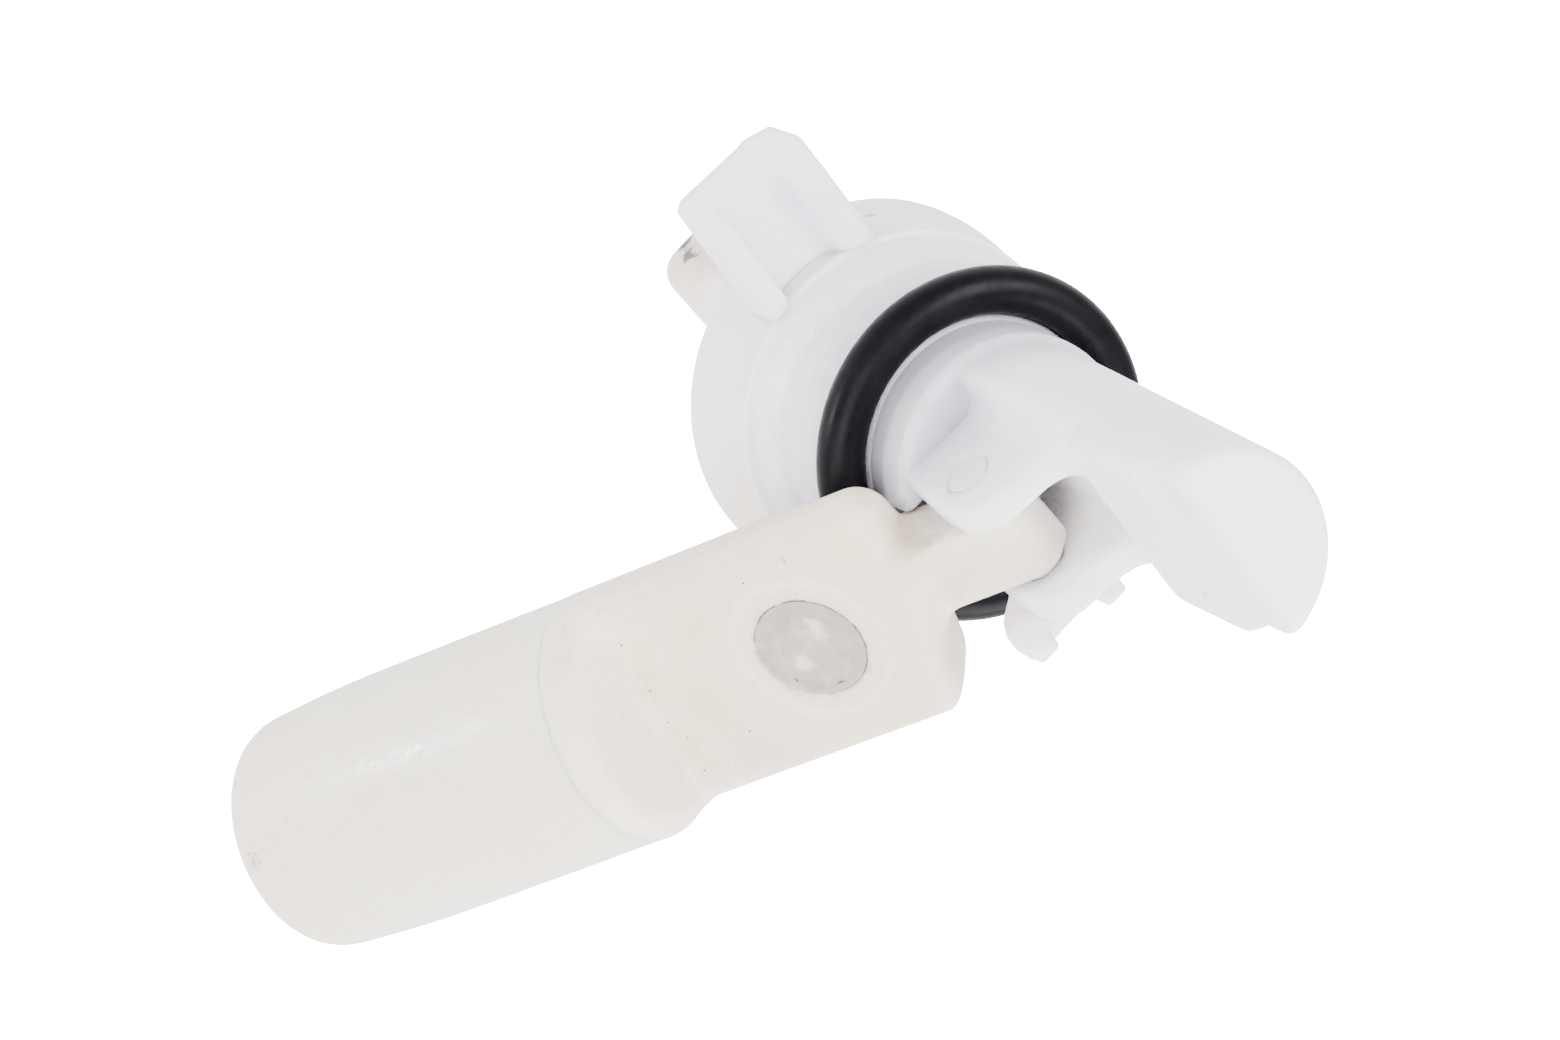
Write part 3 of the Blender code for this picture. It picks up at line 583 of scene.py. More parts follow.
class Finish:
    """A material being made: its Principled shader, and the colour, roughness and height so far."""

    def __init__(self, name, colour, roughness, **constants):
        self.material = bpy.data.materials.new(name)
        self.material.use_nodes = True
        self.tree = self.material.node_tree
        self.shader = self.tree.nodes["Principled BSDF"]
        self.place = add(self.tree, "TexCoord").outputs["Object"]
        for key, value in constants.items():
            self.shader.inputs[key.replace("_", " ")].default_value = value
        self.colour = (*colour, 1.0)
        self.roughness = roughness
        self.height = None

    def centre(self, origin, turn):
        """Pattern places are read from here on in axes with this origin, in metres, and turn."""
        inputs = {"Vector": self.place, "Location": origin, "Rotation": turn}
        self.place = add(self.tree, "Mapping", inputs, vector_type="TEXTURE").outputs[0]
        return self

    def use(self, name, **inputs):
        """The output of a shared effect at this material's places."""
        node = add(self.tree, "Group", node_tree=GROUPS[name])
        self.tree.links.new(self.place, node.inputs["Vector"])
        for key, value in inputs.items():
            node.inputs[key].default_value = value
        return node.outputs[0]

    def tint(self, mask, colour, share=1.0):
        """Mixes another colour in where a mask is."""
        factor = maths(self.tree, "MULTIPLY", mask, share)
        inputs = {MIX_FACTOR: factor, MIX_FIRST: self.colour, MIX_SECOND: (*colour, 1.0)}
        self.colour = add(self.tree, "Mix", inputs, data_type="RGBA").outputs[MIX_RESULT]
        return self

    def roughen(self, mask, amount):
        """Adds an amount of roughness, which may be below zero, where a mask is."""
        extra = maths(self.tree, "MULTIPLY", mask, amount)
        self.roughness = maths(self.tree, "ADD", self.roughness, extra, clamp=True)
        return self

    def raise_by(self, mask, metres):
        """Adds a height in metres where a mask is."""
        extra = maths(self.tree, "MULTIPLY", mask, metres)
        self.height = extra if self.height is None else maths(self.tree, "ADD", self.height, extra)
        return self

    def marks(self, places, colour, share=1.0, roughness=0.0, **inputs):
        """Tints round several (centre, radii) places, in millimetres: stains, and also painted
        light and shade.
        """
        for centre, radii in places:
            spot = self.use(
                "mark",
                Centre=tuple(np.array(centre, float) * MM),
                Radii=tuple(np.array(radii, float) * MM),
                **inputs,
            )
            self.tint(spot, colour, share)
            if roughness:
                self.roughen(spot, roughness)
        return self

    def done(self):
        """Links everything to the shader and returns the material."""
        feed(self.tree, self.shader.inputs["Base Color"], self.colour)
        feed(self.tree, self.shader.inputs["Roughness"], self.roughness)
        if self.height is not None:
            bump = add(self.tree, "Bump", {"Height": self.height, "Strength": 1.0, "Distance": 1.0})
            self.tree.links.new(bump.outputs[0], self.shader.inputs["Normal"])
        return self.material


SOFT_LIGHT = {"Subsurface_Weight": 0.85, "Subsurface_Radius": (1.0, 0.95, 0.9)}
FLOAT_TURN = (FLOAT_ANGLE, 0.0, 0.0)
PIVOT_M = tuple(PIVOT * MM)
DARK = (0.045, 0.038, 0.035)


def both(made, first, second):
    """Where two masks overlap: their product."""
    return maths(made.tree, "MULTIPLY", first, second)


def body_finish():
    """Cool white satin moulding: soft clouds, specks, scuffs, and a grainy patch whose fine specks
    are tinted white as a painted sparkle. Painted shade darkens the seal's surroundings and the
    tab's root, and painted light lifts the slot between the ears.
    """
    colour = (0.785, 0.775, 0.87)
    made = Finish("white_moulding", colour, 0.36, Subsurface_Scale=0.002, **SOFT_LIGHT)
    made.tint(made.use("patches", Scale=110.0), (0.82, 0.80, 0.87), 0.8)
    # Painted light: the slot between the ears and under the finger is lifted to a pale cream, as if
    # lit through the plastic.
    slot_painted_light = [((3.0, -2.0, 11.0), (3.4, 5.5, 8.5))]
    made.marks(slot_painted_light, (0.90, 0.87, 0.80), 0.9, Softness=0.5, Raggedness=0.1)
    # Painted shade: the nose, seat and band round the seal ring are darkened towards grey.
    shade = made.use("mark", Radii=(0.022, 0.022, 0.0135), Softness=0.55, Raggedness=0.05)
    made.tint(shade, (0.42, 0.41, 0.47), 0.75)
    made.tint(made.use("specks", Scale=300.0, Size=0.055, Share=0.09), DARK, 0.8)
    made.tint(made.use("specks", Scale=700.0, Size=0.09, Share=0.04), (0.35, 0.30, 0.25), 0.6)
    made.marks([((-9.0, -1.0, 5.0), (0.22, 0.5, 0.3))], DARK, 0.9, Raggedness=0.5)
    made.marks([((-12.75, -5.5, -15.6), (0.25, 0.5, 0.25))], (0.30, 0.27, 0.26), 0.7)
    made.marks([((4.6, -0.9, 28.8), (0.22, 0.6, 0.22))], DARK, 0.9, Softness=0.4)
    cream = (0.82, 0.72, 0.60)
    made.marks([((-16.0, 0.6, -13.4), (6.5, 2.8, 2.5))], cream, 0.55, Softness=0.9, Raggedness=0.1)
    # Painted shade: a soft grey band across the tab's root where it meets the lip.
    made.marks([((-9.5, 0.6, -13.0), (2.2, 7.5, 1.6))], (0.52, 0.50, 0.52), 0.5, Softness=0.9)
    made.marks([((-8.8, -4.5, 3.4), (1.0, 2.6, 2.6))], (0.60, 0.55, 0.52), 0.5, Softness=0.9)
    scuff = made.use(
        "strokes", Turn=(0.4, 0.5, 0.2), Stretch=(420.0, 420.0, 60.0), Size=0.11, Share=0.12
    )
    seat = made.use(
        "mark", Centre=(-0.0085, -0.008, -0.006), Radii=(0.006, 0.009, 0.005), Softness=0.6
    )
    made.tint(both(made, scuff, seat), (0.95, 0.95, 0.97), 0.8)
    made.raise_by(scuff, -4e-6)
    band = made.use(
        "mark", Centre=(-0.0122, -0.004, -0.010), Radii=(0.003, 0.0062, 0.0026), Softness=0.8
    )
    made.raise_by(both(made, band, made.use("grain", Scale=4200.0)), 7e-5)
    # Painted highlight: fine white specks on the band stand in for sparkling light.
    painted_glint = made.use("specks", Scale=2600.0, Size=0.4, Share=0.4)
    made.tint(both(made, band, painted_glint), (1.0, 1.0, 1.0), 0.8)
    made.roughen(band, -0.2)
    made.roughen(made.use("patches", Scale=420.0), 0.12)
    made.raise_by(made.use("grain", Scale=1500.0), 3e-6)
    made.raise_by(made.use("patches", Scale=260.0, Detail=1.0), 1.2e-5)
    return made.done()


def drum_finish():
    """Cream matt moulding: warm clouds, dirt on the shroud's corner, one dark scrape."""
    made = Finish("cream_moulding", (0.80, 0.75, 0.70), 0.5, Subsurface_Scale=0.002, **SOFT_LIGHT)
    made.tint(made.use("patches", Scale=110.0), (0.83, 0.79, 0.76), 0.7)
    shroud_end = [((-14.2, -1.0, -27.0), (4.0, 6.5, 7.0))]
    made.marks(shroud_end, (0.62, 0.50, 0.45), 0.75, Softness=0.6, Raggedness=0.2)
    dirt = [((-14.5, -1.2, -29.2), (1.0, 1.0, 1.2)), ((-14.5, -1.9, -27.3), (1.0, 0.9, 1.3))]
    made.marks(dirt, (0.06, 0.05, 0.05), 0.9, Softness=0.9, Raggedness=0.7, Grain=1300.0)
    made.marks([((-11.2, 8.35, -15.4), (1.5, 0.5, 0.35))], (0.33, 0.31, 0.31), 0.8, Raggedness=0.5)
    made.tint(made.use("specks", Scale=520.0, Size=0.07, Share=0.05), (0.35, 0.30, 0.26), 0.7)
    made.roughen(made.use("patches", Scale=500.0), 0.12)
    made.raise_by(made.use("grain", Scale=2200.0), 4e-6)
    return made.done()


def ring_finish():
    """Blue-black rubber: satin, with slight unevenness and a few pale dust specks."""
    made = Finish("seal_rubber", (0.0022, 0.0024, 0.0034), 0.32, Specular_IOR_Level=0.06)
    made.tint(made.use("patches", Scale=300.0), (0.006, 0.006, 0.0075), 0.6)
    made.tint(made.use("specks", Scale=620.0, Size=0.06, Share=0.08), (0.16, 0.15, 0.14), 0.8)
    made.roughen(made.use("patches", Scale=900.0), 0.10)
    made.raise_by(made.use("grain", Scale=2600.0), 3e-6)
    return made.done()


STAINS = [
    ((-5.0, 4.2, 30.3), (2.6, 2.0, 1.7)),
    ((-1.9, 4.6, 31.2), (2.4, 2.0, 1.5)),
    ((3.2, 5.2, 31.6), (3.0, 2.0, 2.2)),
    ((5.9, 5.6, 31.9), (1.8, 2.0, 1.6)),
    ((-5.0, 4.2, 25.0), (3.0, 2.0, 3.2)),
    ((0.6, 4.9, 27.8), (5.0, 2.0, 2.8)),
]
ROOT_STAINS = [
    ((-4.6, 2.4, 6.6), (1.8, 3.0, 2.2)),
    ((-1.2, 3.6, 8.0), (3.0, 1.8, 2.4)),
    ((-6.5, 4.0, 9.0), (2.4, 2.0, 2.0)),
]
FLECKS = [
    (-7.0, 4.0, 18.7),
    (-5.9, 4.1, 31.0),
    (-1.5, 4.7, 31.5),
    (1.5, 5.1, 32.0),
    (3.3, 5.4, 31.4),
    (6.4, 5.8, 32.0),
    (-1.0, 4.8, 14.2),
    (1.0, 5.0, 11.4),
    (4.6, 5.5, 26.4),
]


def float_finish():
    """Warm off-white float: fibrous grain, specks, old brown stains, and a smoother strip whose
    fibres are tinted white as a painted highlight.
    """
    colour = (0.815, 0.735, 0.63)
    made = Finish("float_plastic", colour, 0.42, Subsurface_Scale=0.0008, **SOFT_LIGHT)
    made.centre(PIVOT_M, FLOAT_TURN)
    made.tint(made.use("patches", Scale=90.0), (0.83, 0.765, 0.68), 0.8)
    block = made.use("mark", Centre=(0.0, 0.004, 0.018), Radii=(0.02, 0.02, 0.016), Softness=0.2)
    made.tint(block, (0.73, 0.63, 0.485), 0.7)
    made.marks(STAINS, (0.70, 0.575, 0.40), 0.45, Softness=0.9, Raggedness=0.25, Grain=420.0)
    made.marks(ROOT_STAINS, (0.76, 0.62, 0.43), 0.5, Softness=0.95, Raggedness=0.25, Grain=420.0)
    lug = made.use("mark", Centre=(0.0, 0.0, 0.001), Radii=(0.005, 0.006, 0.0085), Softness=0.5)
    made.tint(lug, (0.72, 0.66, 0.56), 0.7)
    made.marks([(f, (0.13, 0.5, 0.13)) for f in FLECKS], DARK, 0.9, Softness=0.5, Raggedness=0.2)
    made.marks([((-7.6, 3.9, 14.6), (0.5, 0.5, 0.10))], DARK, 0.8, Raggedness=0.2)
    end_dirt = [((-5.2, 12.0, 65.8), (0.9, 1.2, 0.7)), ((-8.9, 6.8, 66.6), (0.5, 0.5, 0.35))]
    made.marks(end_dirt, (0.30, 0.25, 0.22), 0.6, Softness=0.8, Raggedness=0.9, Grain=2600.0)
    halo = ring_mask(made, 0.0063, 0.0007)
    made.tint(halo, (0.86, 0.83, 0.78), 0.5)
    made.tint(ring_mask(made, 0.0044, 0.0006), (0.36, 0.31, 0.29), 0.55)
    made.tint(made.use("specks", Scale=620.0, Size=0.09, Share=0.13), (0.36, 0.29, 0.22), 0.7)
    hair = made.use(
        "strokes", Stretch=(700.0, 700.0, 260.0), Turn=(0.5, 0.9, 0.3), Size=0.10, Share=0.06
    )
    made.tint(hair, (0.30, 0.25, 0.22), 0.5)
    fibre = made.use("strokes", Stretch=(4200.0, 4200.0, 620.0), Size=0.5, Share=0.6)
    made.tint(fibre, (0.68, 0.61, 0.52), 0.3)
    sheen_streak = made.use(
        "mark",
        Centre=(-0.0079, 0.0100, 0.0505),
        Radii=(0.0046, 0.0046, 0.0145),
        Softness=0.9,
        Raggedness=0.5,
        Grain=420.0,
    )
    made.raise_by(both(made, fibre, sheen_streak), 9e-5)
    # Painted highlight: the fibres in this strip are tinted white to stand in for a sheen of light.
    made.tint(both(made, fibre, sheen_streak), (1.0, 1.0, 1.0), 0.9)
    made.roughen(sheen_streak, -0.27)
    made.raise_by(fibre, 1.4e-5)
    made.raise_by(made.use("grain", Scale=2000.0), 4.0e-5)
    made.roughen(made.use("patches", Scale=600.0), 0.12)
    return made.done()


def ring_mask(made, radius, width):
    """A soft noisy ring on the magnet face: 1 at its radius, and 0 a width away from that."""
    tree = made.tree
    centre = (0.0, (FLOAT_AXIS + BLOCK_FLAT) * MM, MAGNET_S * MM)
    away = add(tree, "VectorMath", {0: made.place, 1: centre}, operation="SUBTRACT")
    distance = add(tree, "VectorMath", {0: away.outputs[0]}, operation="LENGTH").outputs["Value"]
    ragged = maths(tree, "MULTIPLY", made.use("patches", Scale=900.0), width)
    distance = maths(tree, "SUBTRACT", maths(tree, "ADD", distance, ragged), radius)
    return ranged(tree, maths(tree, "ABSOLUTE", distance), 0.0, width, 1.0, 0.0)


def disc_finish():
    """Worn grey disc: mottled, scuffed in swirls, pitted, with dirt round its rim and two pale
    painted highlights on its face.
    """
    made = Finish("magnet_disc", (0.385, 0.315, 0.285), 0.46)
    made.centre(PIVOT_M, FLOAT_TURN)
    made.tint(made.use("patches", Scale=420.0), (0.50, 0.43, 0.395), 0.9)
    made.tint(made.use("patches", Scale=1700.0, Detail=8.0), (0.30, 0.255, 0.24), 0.5)
    made.tint(ring_mask(made, 0.0041, 0.0012), (0.26, 0.225, 0.21), 0.5)
    made.tint(ring_mask(made, 0.0023, 0.00025), (0.30, 0.26, 0.24), 0.35)
    # Painted highlights: two pale soft spots on the disc's face.
    painted_highlight_spots = [((-1.4, 4.7, 16.0), (1.8, 1.0, 0.8)), ((0.6, 4.9, 18.6), (1.1, 1.0, 0.9))]
    made.marks(painted_highlight_spots, (0.80, 0.74, 0.72), 0.6, Softness=0.9, Raggedness=0.5)
    made.tint(made.use("specks", Scale=1100.0, Size=0.16, Share=0.13), DARK, 0.85)
    pits = [((2.0, 5.1, 20.1), (0.35, 0.6, 0.13)), ((3.4, 5.3, 17.0), (0.14, 0.6, 0.5))]
    made.marks(pits, DARK, 0.9, Raggedness=0.5)
    made.raise_by(made.use("grain", Scale=2500.0), 1.2e-5)
    return made.done()


def plain_finish(name, colour, roughness, mottle, **constants):
    """A moulded or drawn surface with faint patches and fine grain."""
    made = Finish(name, colour, roughness, **constants)
    made.tint(made.use("patches", Scale=500.0), tuple(mottle * c for c in colour), 0.6)
    made.roughen(made.use("patches", Scale=900.0), 0.12)
    made.raise_by(made.use("grain", Scale=3000.0), 3e-6)
    return made.done()


WHITE = body_finish()
CREAM = drum_finish()
RUBBER = ring_finish()
FLOAT_WHITE = float_finish()
DISC = disc_finish()
CLIP = plain_finish(
    "clip_plastic", (0.93, 0.86, 0.85), 0.5, 0.95, Subsurface_Scale=0.003, **SOFT_LIGHT
)
STEEL = plain_finish("pin_steel", (0.74, 0.73, 0.80), 0.34, 0.92)


# ---------------------------------------------------------------- the sensor body's pieces


def body_rear():
    """Seat, tapered band, lip and sleeve, turned in one profile."""
    corners = [
        (9.0, 0.9, 0.1),
        (RING_RADIUS - CORD_RADIUS - 0.03, 0.35, 0.4),
        (RING_RADIUS - CORD_RADIUS - 0.03, -1.3, 0.2),
        (SEAT_RADIUS, -2.1, 0.5),
        (SEAT_RADIUS + 0.05, BAND_FRONT + 0.35, 0.4),
        (SEAT_RADIUS + 0.6, BAND_FRONT - 0.35, 0.35),
        (BAND_REAR_RADIUS, LIP_FRONT + 0.1, 0.25),
        (LIP_RADIUS, LIP_FRONT - 0.05, 0.18),
        (LIP_RADIUS, LIP_REAR, 0.2),
        (SLEEVE_RADIUS, LIP_REAR, 0.2),
        (SLEEVE_RADIUS, SLEEVE_REAR, 0.2),
        (ROOM_RADIUS, SLEEVE_REAR, 0.2),
        (ROOM_RADIUS, FRONT_REAR, 0.2),
        (9.0, FRONT_REAR, 0.1),
    ]
    return merged(*lathe(corners, 180))


def ear_field(p, side):
    """One hinge ear: a plate whose outline runs from the nose round to the finger."""
    outline = [
        (2.0, 4.0),
        (-6.6, 4.0),
        (-6.7, 5.6),
        (-7.4, 10.6),
        (-7.5, 13.4),
        (-7.0, 15.2),
        (-5.8, 16.3),
        (-4.3, 16.6),
        (-2.0, 17.0),
        (-0.4, 17.8),
        (2.0, 19.6),
    ]
    plan = outline_field(p[..., 1], p[..., 2], outline) - 0.5
    middle = side * (EAR_INNER + EAR_OUTER) / 2.0
    faces = np.abs(p[..., 0] - middle) - (EAR_OUTER - EAR_INNER) / 2.0
    return edged(plan, faces, 0.6)


def finger_floor(x, z):
    """The height of the finger's underside: a neck, a pad with round rear corners, the tip."""
    across = np.abs(x) - 6.0
    along = PAD_REAR + PAD_CORNER - z
    rear = np.hypot(np.maximum(across, 0.0), np.maximum(along, 0.0)) - PAD_CORNER
    rear = np.maximum(rear, np.minimum(np.maximum(across, along), 0.0) - PAD_CORNER)
    pad = ease(-rear, 0.0, 0.7) * ease(z, PAD_REAR, PAD_REAR + 0.7)
    tip = ease(z, PAD_FRONT, PAD_FRONT + 1.8)
    tilt = FLOOR_TILT * x * ease(z, PAD_REAR - 2.0, PAD_REAR + 2.0)
    depth = NECK_FLOOR - PAD_DROP * pad
    return depth + (TIP_FLOOR - depth) * tip + tilt


def front_field(p):
    """Nose, finger and ears in one field, less the slot, the pin's bore and the reed's bore."""
    x, y, z = p[..., 0], p[..., 1], p[..., 2]
    radial = np.hypot(x, y)
    nose = edged(radial - NOSE_RADIUS, np.maximum(z - NOSE_FRONT, FRONT_REAR - z), NOSE_RIM)
    share = (z - NOSE_FRONT) / (FINGER_FRONT - NOSE_FRONT)
    taper = FINGER_ROOT_RADIUS + (FINGER_TIP_RADIUS - FINGER_ROOT_RADIUS) * share
    bar = edged(radial - taper, np.maximum(z - FINGER_FRONT, 2.0 - z), 1.1)
    bar = blend_in(bar, finger_floor(x, z) - y, 1.5)
    ears = np.minimum(ear_field(p, -1.0), ear_field(p, 1.0))
    made = blend_out(blend_out(bar, ears, 2.2), nose, 0.4)
    slot = block_field(p, (-EAR_INNER, -20.0, SLOT_FLOOR), (EAR_INNER, SLOT_TOP, 20.0), 0.2)
    made = blend_in(made, -slot, 0.25)
    pin_bore = np.hypot(y - PIVOT[1], z - PIVOT[2]) - PIN_BORE
    reed_bore = np.maximum(radial - REED_BORE_RADIUS, REED_BORE_FLOOR - y)
    reed_bore = np.maximum(reed_bore, z - REED_BORE_FRONT)
    return np.maximum(made, np.maximum(-pin_bore, -reed_bore))


def tab_field(p):
    """The thumb tab: a plate with rounded outer corners and two ribs that fade near its end."""
    turn_cos, turn_sin = math.cos(TAB_TURN), math.sin(TAB_TURN)
    x = p[..., 0] * turn_cos + p[..., 1] * turn_sin
    y = p[..., 1] * turn_cos - p[..., 0] * turn_sin
    z = p[..., 2]
    outline = [(-23.4, -3.3), (-9.0, -3.3), (-9.0, 5.1), (-21.6, 5.1), (-22.9, 4.3), (-23.4, 3.0)]
    plan = outline_field(x, y, outline) - 1.0
    middle = (TAB_REAR + TAB_PLATE_FRONT) / 2.0
    made = edged(plan, np.abs(z - middle) - (TAB_PLATE_FRONT - TAB_REAR) / 2.0, 0.45)
    for low, high, radius, fade, reach in TAB_RIBS:
        top = TAB_PLATE_FRONT - 0.3 + TAB_RIB_HEIGHT * ease(x, fade - 3.0, fade + 0.6)
        sides = np.maximum(np.maximum(low - y, y - high), np.maximum(-23.9 - x, x + 9.0))
        rib = edged(sides, np.maximum(z - top, TAB_REAR + 0.3 - z), radius)
        made = blend_out(made, np.maximum(rib, plan), reach)
    return made


def clip_field(p):
    """The clip: a thin plate on the pin's far end with two nibs on its front edge."""
    low, high = span("hinge_clip")
    plate = [(-1.6, 6.6), (-6.6, 6.6), (-9.0, 8.8), (-9.8, 10.4), (-10.1, 13.6), (-1.6, 13.6)]
    plan = outline_field(p[..., 1], p[..., 2], plate) - 0.4
    for y0, y1, top in ((-10.4, -8.4, 15.2), (-4.2, -2.2, 16.5)):
        nib = np.maximum(np.abs(p[..., 1] - (y0 + y1) / 2) - (y1 - y0) / 2 + 0.5, 0.0)
        rise = np.maximum(np.abs(p[..., 2] - (top + 11.0) / 2) - (top - 11.0) / 2 + 0.5, 0.0)
        plan = blend_out(plan, np.hypot(nib, rise) - 0.5, 0.4)
    middle, half = (low[0] + high[0]) / 2.0, (high[0] - low[0]) / 2.0
    made = edged(plan, np.abs(p[..., 0] - middle) - half, 0.35)
    bore = np.hypot(p[..., 1] - PIVOT[1], p[..., 2] - PIVOT[2]) - PIN_BORE
    return np.maximum(made, -bore)


def drum():
    """The plug housing's drum: a stepped front edge, a swelling side and a closed floor."""
    front = LIP_REAR - 0.06
    corners = [
        (SLEEVE_RADIUS + 0.1, front, 0.1),
        (LIP_RADIUS - 0.3, front, 0.12),
        (LIP_RADIUS - 0.05, front - 1.1, 0.5),
        (14.45, front - 2.7, 0.9),
        (DRUM_RADIUS, front - 5.2, 1.2),
        (DRUM_RADIUS, DRUM_REAR, 0.7),
        (0.0, DRUM_REAR, 0.0),
        (0.0, DRUM_REAR + 1.1, 0.0),
        (SLEEVE_RADIUS + 0.1, DRUM_REAR + 1.1, 0.3),
    ]
    return merged(*lathe(corners, 180))


def shroud():
    """The plug shroud: a rounded-rectangle wall that stands on the drum's floor."""
    long, wide, corner = SHROUD_HALF_LENGTH, SHROUD_HALF_WIDTH, SHROUD_CORNER
    sides = ((long, -wide), (long, wide), (-long, wide), (-long, -wide))
    outline = [(*side, corner) for side in sides]
    section = [
        (0.0, DRUM_REAR + 0.6, 0.1),
        (0.0, SHROUD_REAR, 0.45),
        (SHROUD_WALL, SHROUD_REAR, 0.45),
        (SHROUD_WALL, DRUM_REAR + 0.6, 0.1),
    ]
    return merged(*tube_wall(outline, section))


def ring():
    """The O-ring: a circle of the cord's radius carried round the ring's circle."""
    around = np.linspace(0.0, 2 * math.pi, RING_STEPS, endpoint=False)[:, None]
    cord = np.linspace(0.0, 2 * math.pi, CORD_STEPS, endpoint=False)[None, :]
    rise = np.sin(cord) + 0 * around
    out = np.stack([np.cos(around) * np.cos(cord), np.sin(around) * np.cos(cord), rise], -1)
    centre = np.stack([np.cos(around), np.sin(around), 0 * around], -1) * RING_RADIUS
    points = centre + CORD_RADIUS * out
    return merged(points.reshape(-1, 3), out.reshape(-1, 3), grid_faces(RING_STEPS, CORD_STEPS))


def pin():
    """The hinge pin: a turned rod along X with a slightly broader, crowned end in the near ear."""
    end = span("hinge_pin")[1][0]
    corners = [
        (0.0, -PIN_FACE - 0.02, 0.0),
        (PIN_RADIUS, -PIN_FACE + 0.06, 0.2),
        (PIN_RADIUS, -PIN_FACE + 1.2, 0.1),
        (PIN_SHANK_RADIUS, -PIN_FACE + 1.3, 0.05),
        (PIN_SHANK_RADIUS, end - 0.2, 0.1),
        (PIN_SHANK_RADIUS - 0.2, end, 0.1),
        (0.0, end, 0.0),
    ]
    points, normals, faces = lathe(corners, 64)
    along_x = np.array([[0, 0, 1], [1, 0, 0], [0, 1, 0]])
    points = points @ along_x.T + np.array([0.0, PIVOT[1], PIVOT[2]])
    return merged(points, normals @ along_x.T, faces)


# ---------------------------------------------------------------- the float's pieces


def face_height(p):
    """How far a place in the float's axes lies above the magnet face."""
    rise = (p[..., 1] - FLOAT_AXIS) * math.cos(FACE_TURN)
    return rise - p[..., 0] * math.sin(FACE_TURN) - BLOCK_FLAT


def face_radius(p):
    """How far a place lies from the magnet's axis."""
    across = p[..., 0] * math.cos(FACE_TURN) + (p[..., 1] - FLOAT_AXIS) * math.sin(FACE_TURN)
    return np.hypot(across, p[..., 2] - MAGNET_S)


def holder_field(p):
    """The float holder: a round bar with an eased flat and a relief, a lug and a pocket.

    Its front slants away from the tab's side, and a collar runs into the front of the cup.
    """
    x, n, s = p[..., 0], p[..., 1], p[..., 2]
    start = BLOCK_START + BLOCK_SLANT * np.maximum(x + 1.5, 0.0)
    side = np.hypot(x, n - FLOAT_AXIS) - FLOAT_RADIUS
    bar = edged(side, np.maximum(start - s, s - BLOCK_BLANK_END), 1.7 - 0.05 * x)
    bar = blend_in(bar, face_height(p), 2.4)
    rim = edged(side + 0.03, np.maximum(SHOULDER + 0.1 - s, s - BLOCK_BLANK_END), 1.9)
    bar = np.maximum(blend_out(bar, rim, 0.9), side)
    under = RELIEF_TOP - np.maximum(s - RELIEF_BEND, 0.0) * RELIEF_SLOPE
    bar = blend_in(bar, (under - n) * 0.75, 1.2)
    low, high = (-9.0, -LUG_HALF_THICKNESS, LUG_TAIL), (9.0, LUG_HALF_THICKNESS, 20.0)
    lug = edged(block_field(p, low, high, 2.2), np.abs(x) - LUG_HALF_WIDTH, 0.45)
    made = blend_out(bar, lug, 2.2)
    made = np.maximum(made, s - SHOULDER - COLLAR)
    bore = np.hypot(n, s) - PIN_BORE
    pocket = np.maximum(face_radius(p) - DISC_RADIUS - 0.03, -face_height(p) - 3.6)
    return np.maximum(made, np.maximum(-bore, -pocket))


def holder():
    """The float holder's skin, moved from the float's axes to the frame's."""
    low = (-FLOAT_RADIUS - 0.4, FLOAT_AXIS - FLOAT_RADIUS - 0.5, LUG_TAIL - 0.4)
    high = (FLOAT_RADIUS + 0.4, FLOAT_AXIS + FLOAT_RADIUS + 0.4, SHOULDER + COLLAR + 0.4)
    points, normals, faces = skin(holder_field, low, high, 0.26)
    return float_axes(points), float_axes(normals, False), faces


def cup():
    """The buoyant cup: a front wall with a round rim, a straight side, a taper and a round end."""
    front = SHOULDER + 0.5
    corners = [
        (0.0, front, 0.0),
        (FLOAT_RADIUS - 0.06, front, 1.9),
        (FLOAT_RADIUS, front + 14.0, 6.0),
        (FLOAT_RADIUS, FLOAT_END - 9.5, 4.0),
        (9.25, FLOAT_END, 3.0),
        (0.0, FLOAT_END + 0.05, 0.0),
    ]
    points, normals, faces = lathe(corners, 180, (0.0, FLOAT_AXIS))
    return merged(float_axes(points), float_axes(normals, False), faces)


def disc():
    """The magnet's cover: a turned disc with an eased rim, nearly flush with the face."""
    corners = [
        (0.0, -1.1, 0.0),
        (DISC_RADIUS, -1.1, 0.1),
        (DISC_RADIUS, 0.0, 0.04),
        (DISC_RADIUS - 0.5, 0.02, 0.3),
        (0.0, 0.0, 0.0),
    ]
    points, normals, faces = lathe(corners, 96)
    turn_cos, turn_sin = math.cos(FACE_TURN), math.sin(FACE_TURN)
    across = np.array([turn_cos, turn_sin, 0.0])
    outward_axis = np.array([-turn_sin, turn_cos, 0.0])
    along = np.array([0.0, 0.0, 1.0])
    axes = np.stack([across, -along, outward_axis], 1)
    origin = np.array([0.0, FLOAT_AXIS, MAGNET_S]) + BLOCK_FLAT * outward_axis
    points = points @ axes.T + origin
    return merged(float_axes(points), float_axes(normals @ axes.T, False), faces)


# ---------------------------------------------------------------- everything in its place


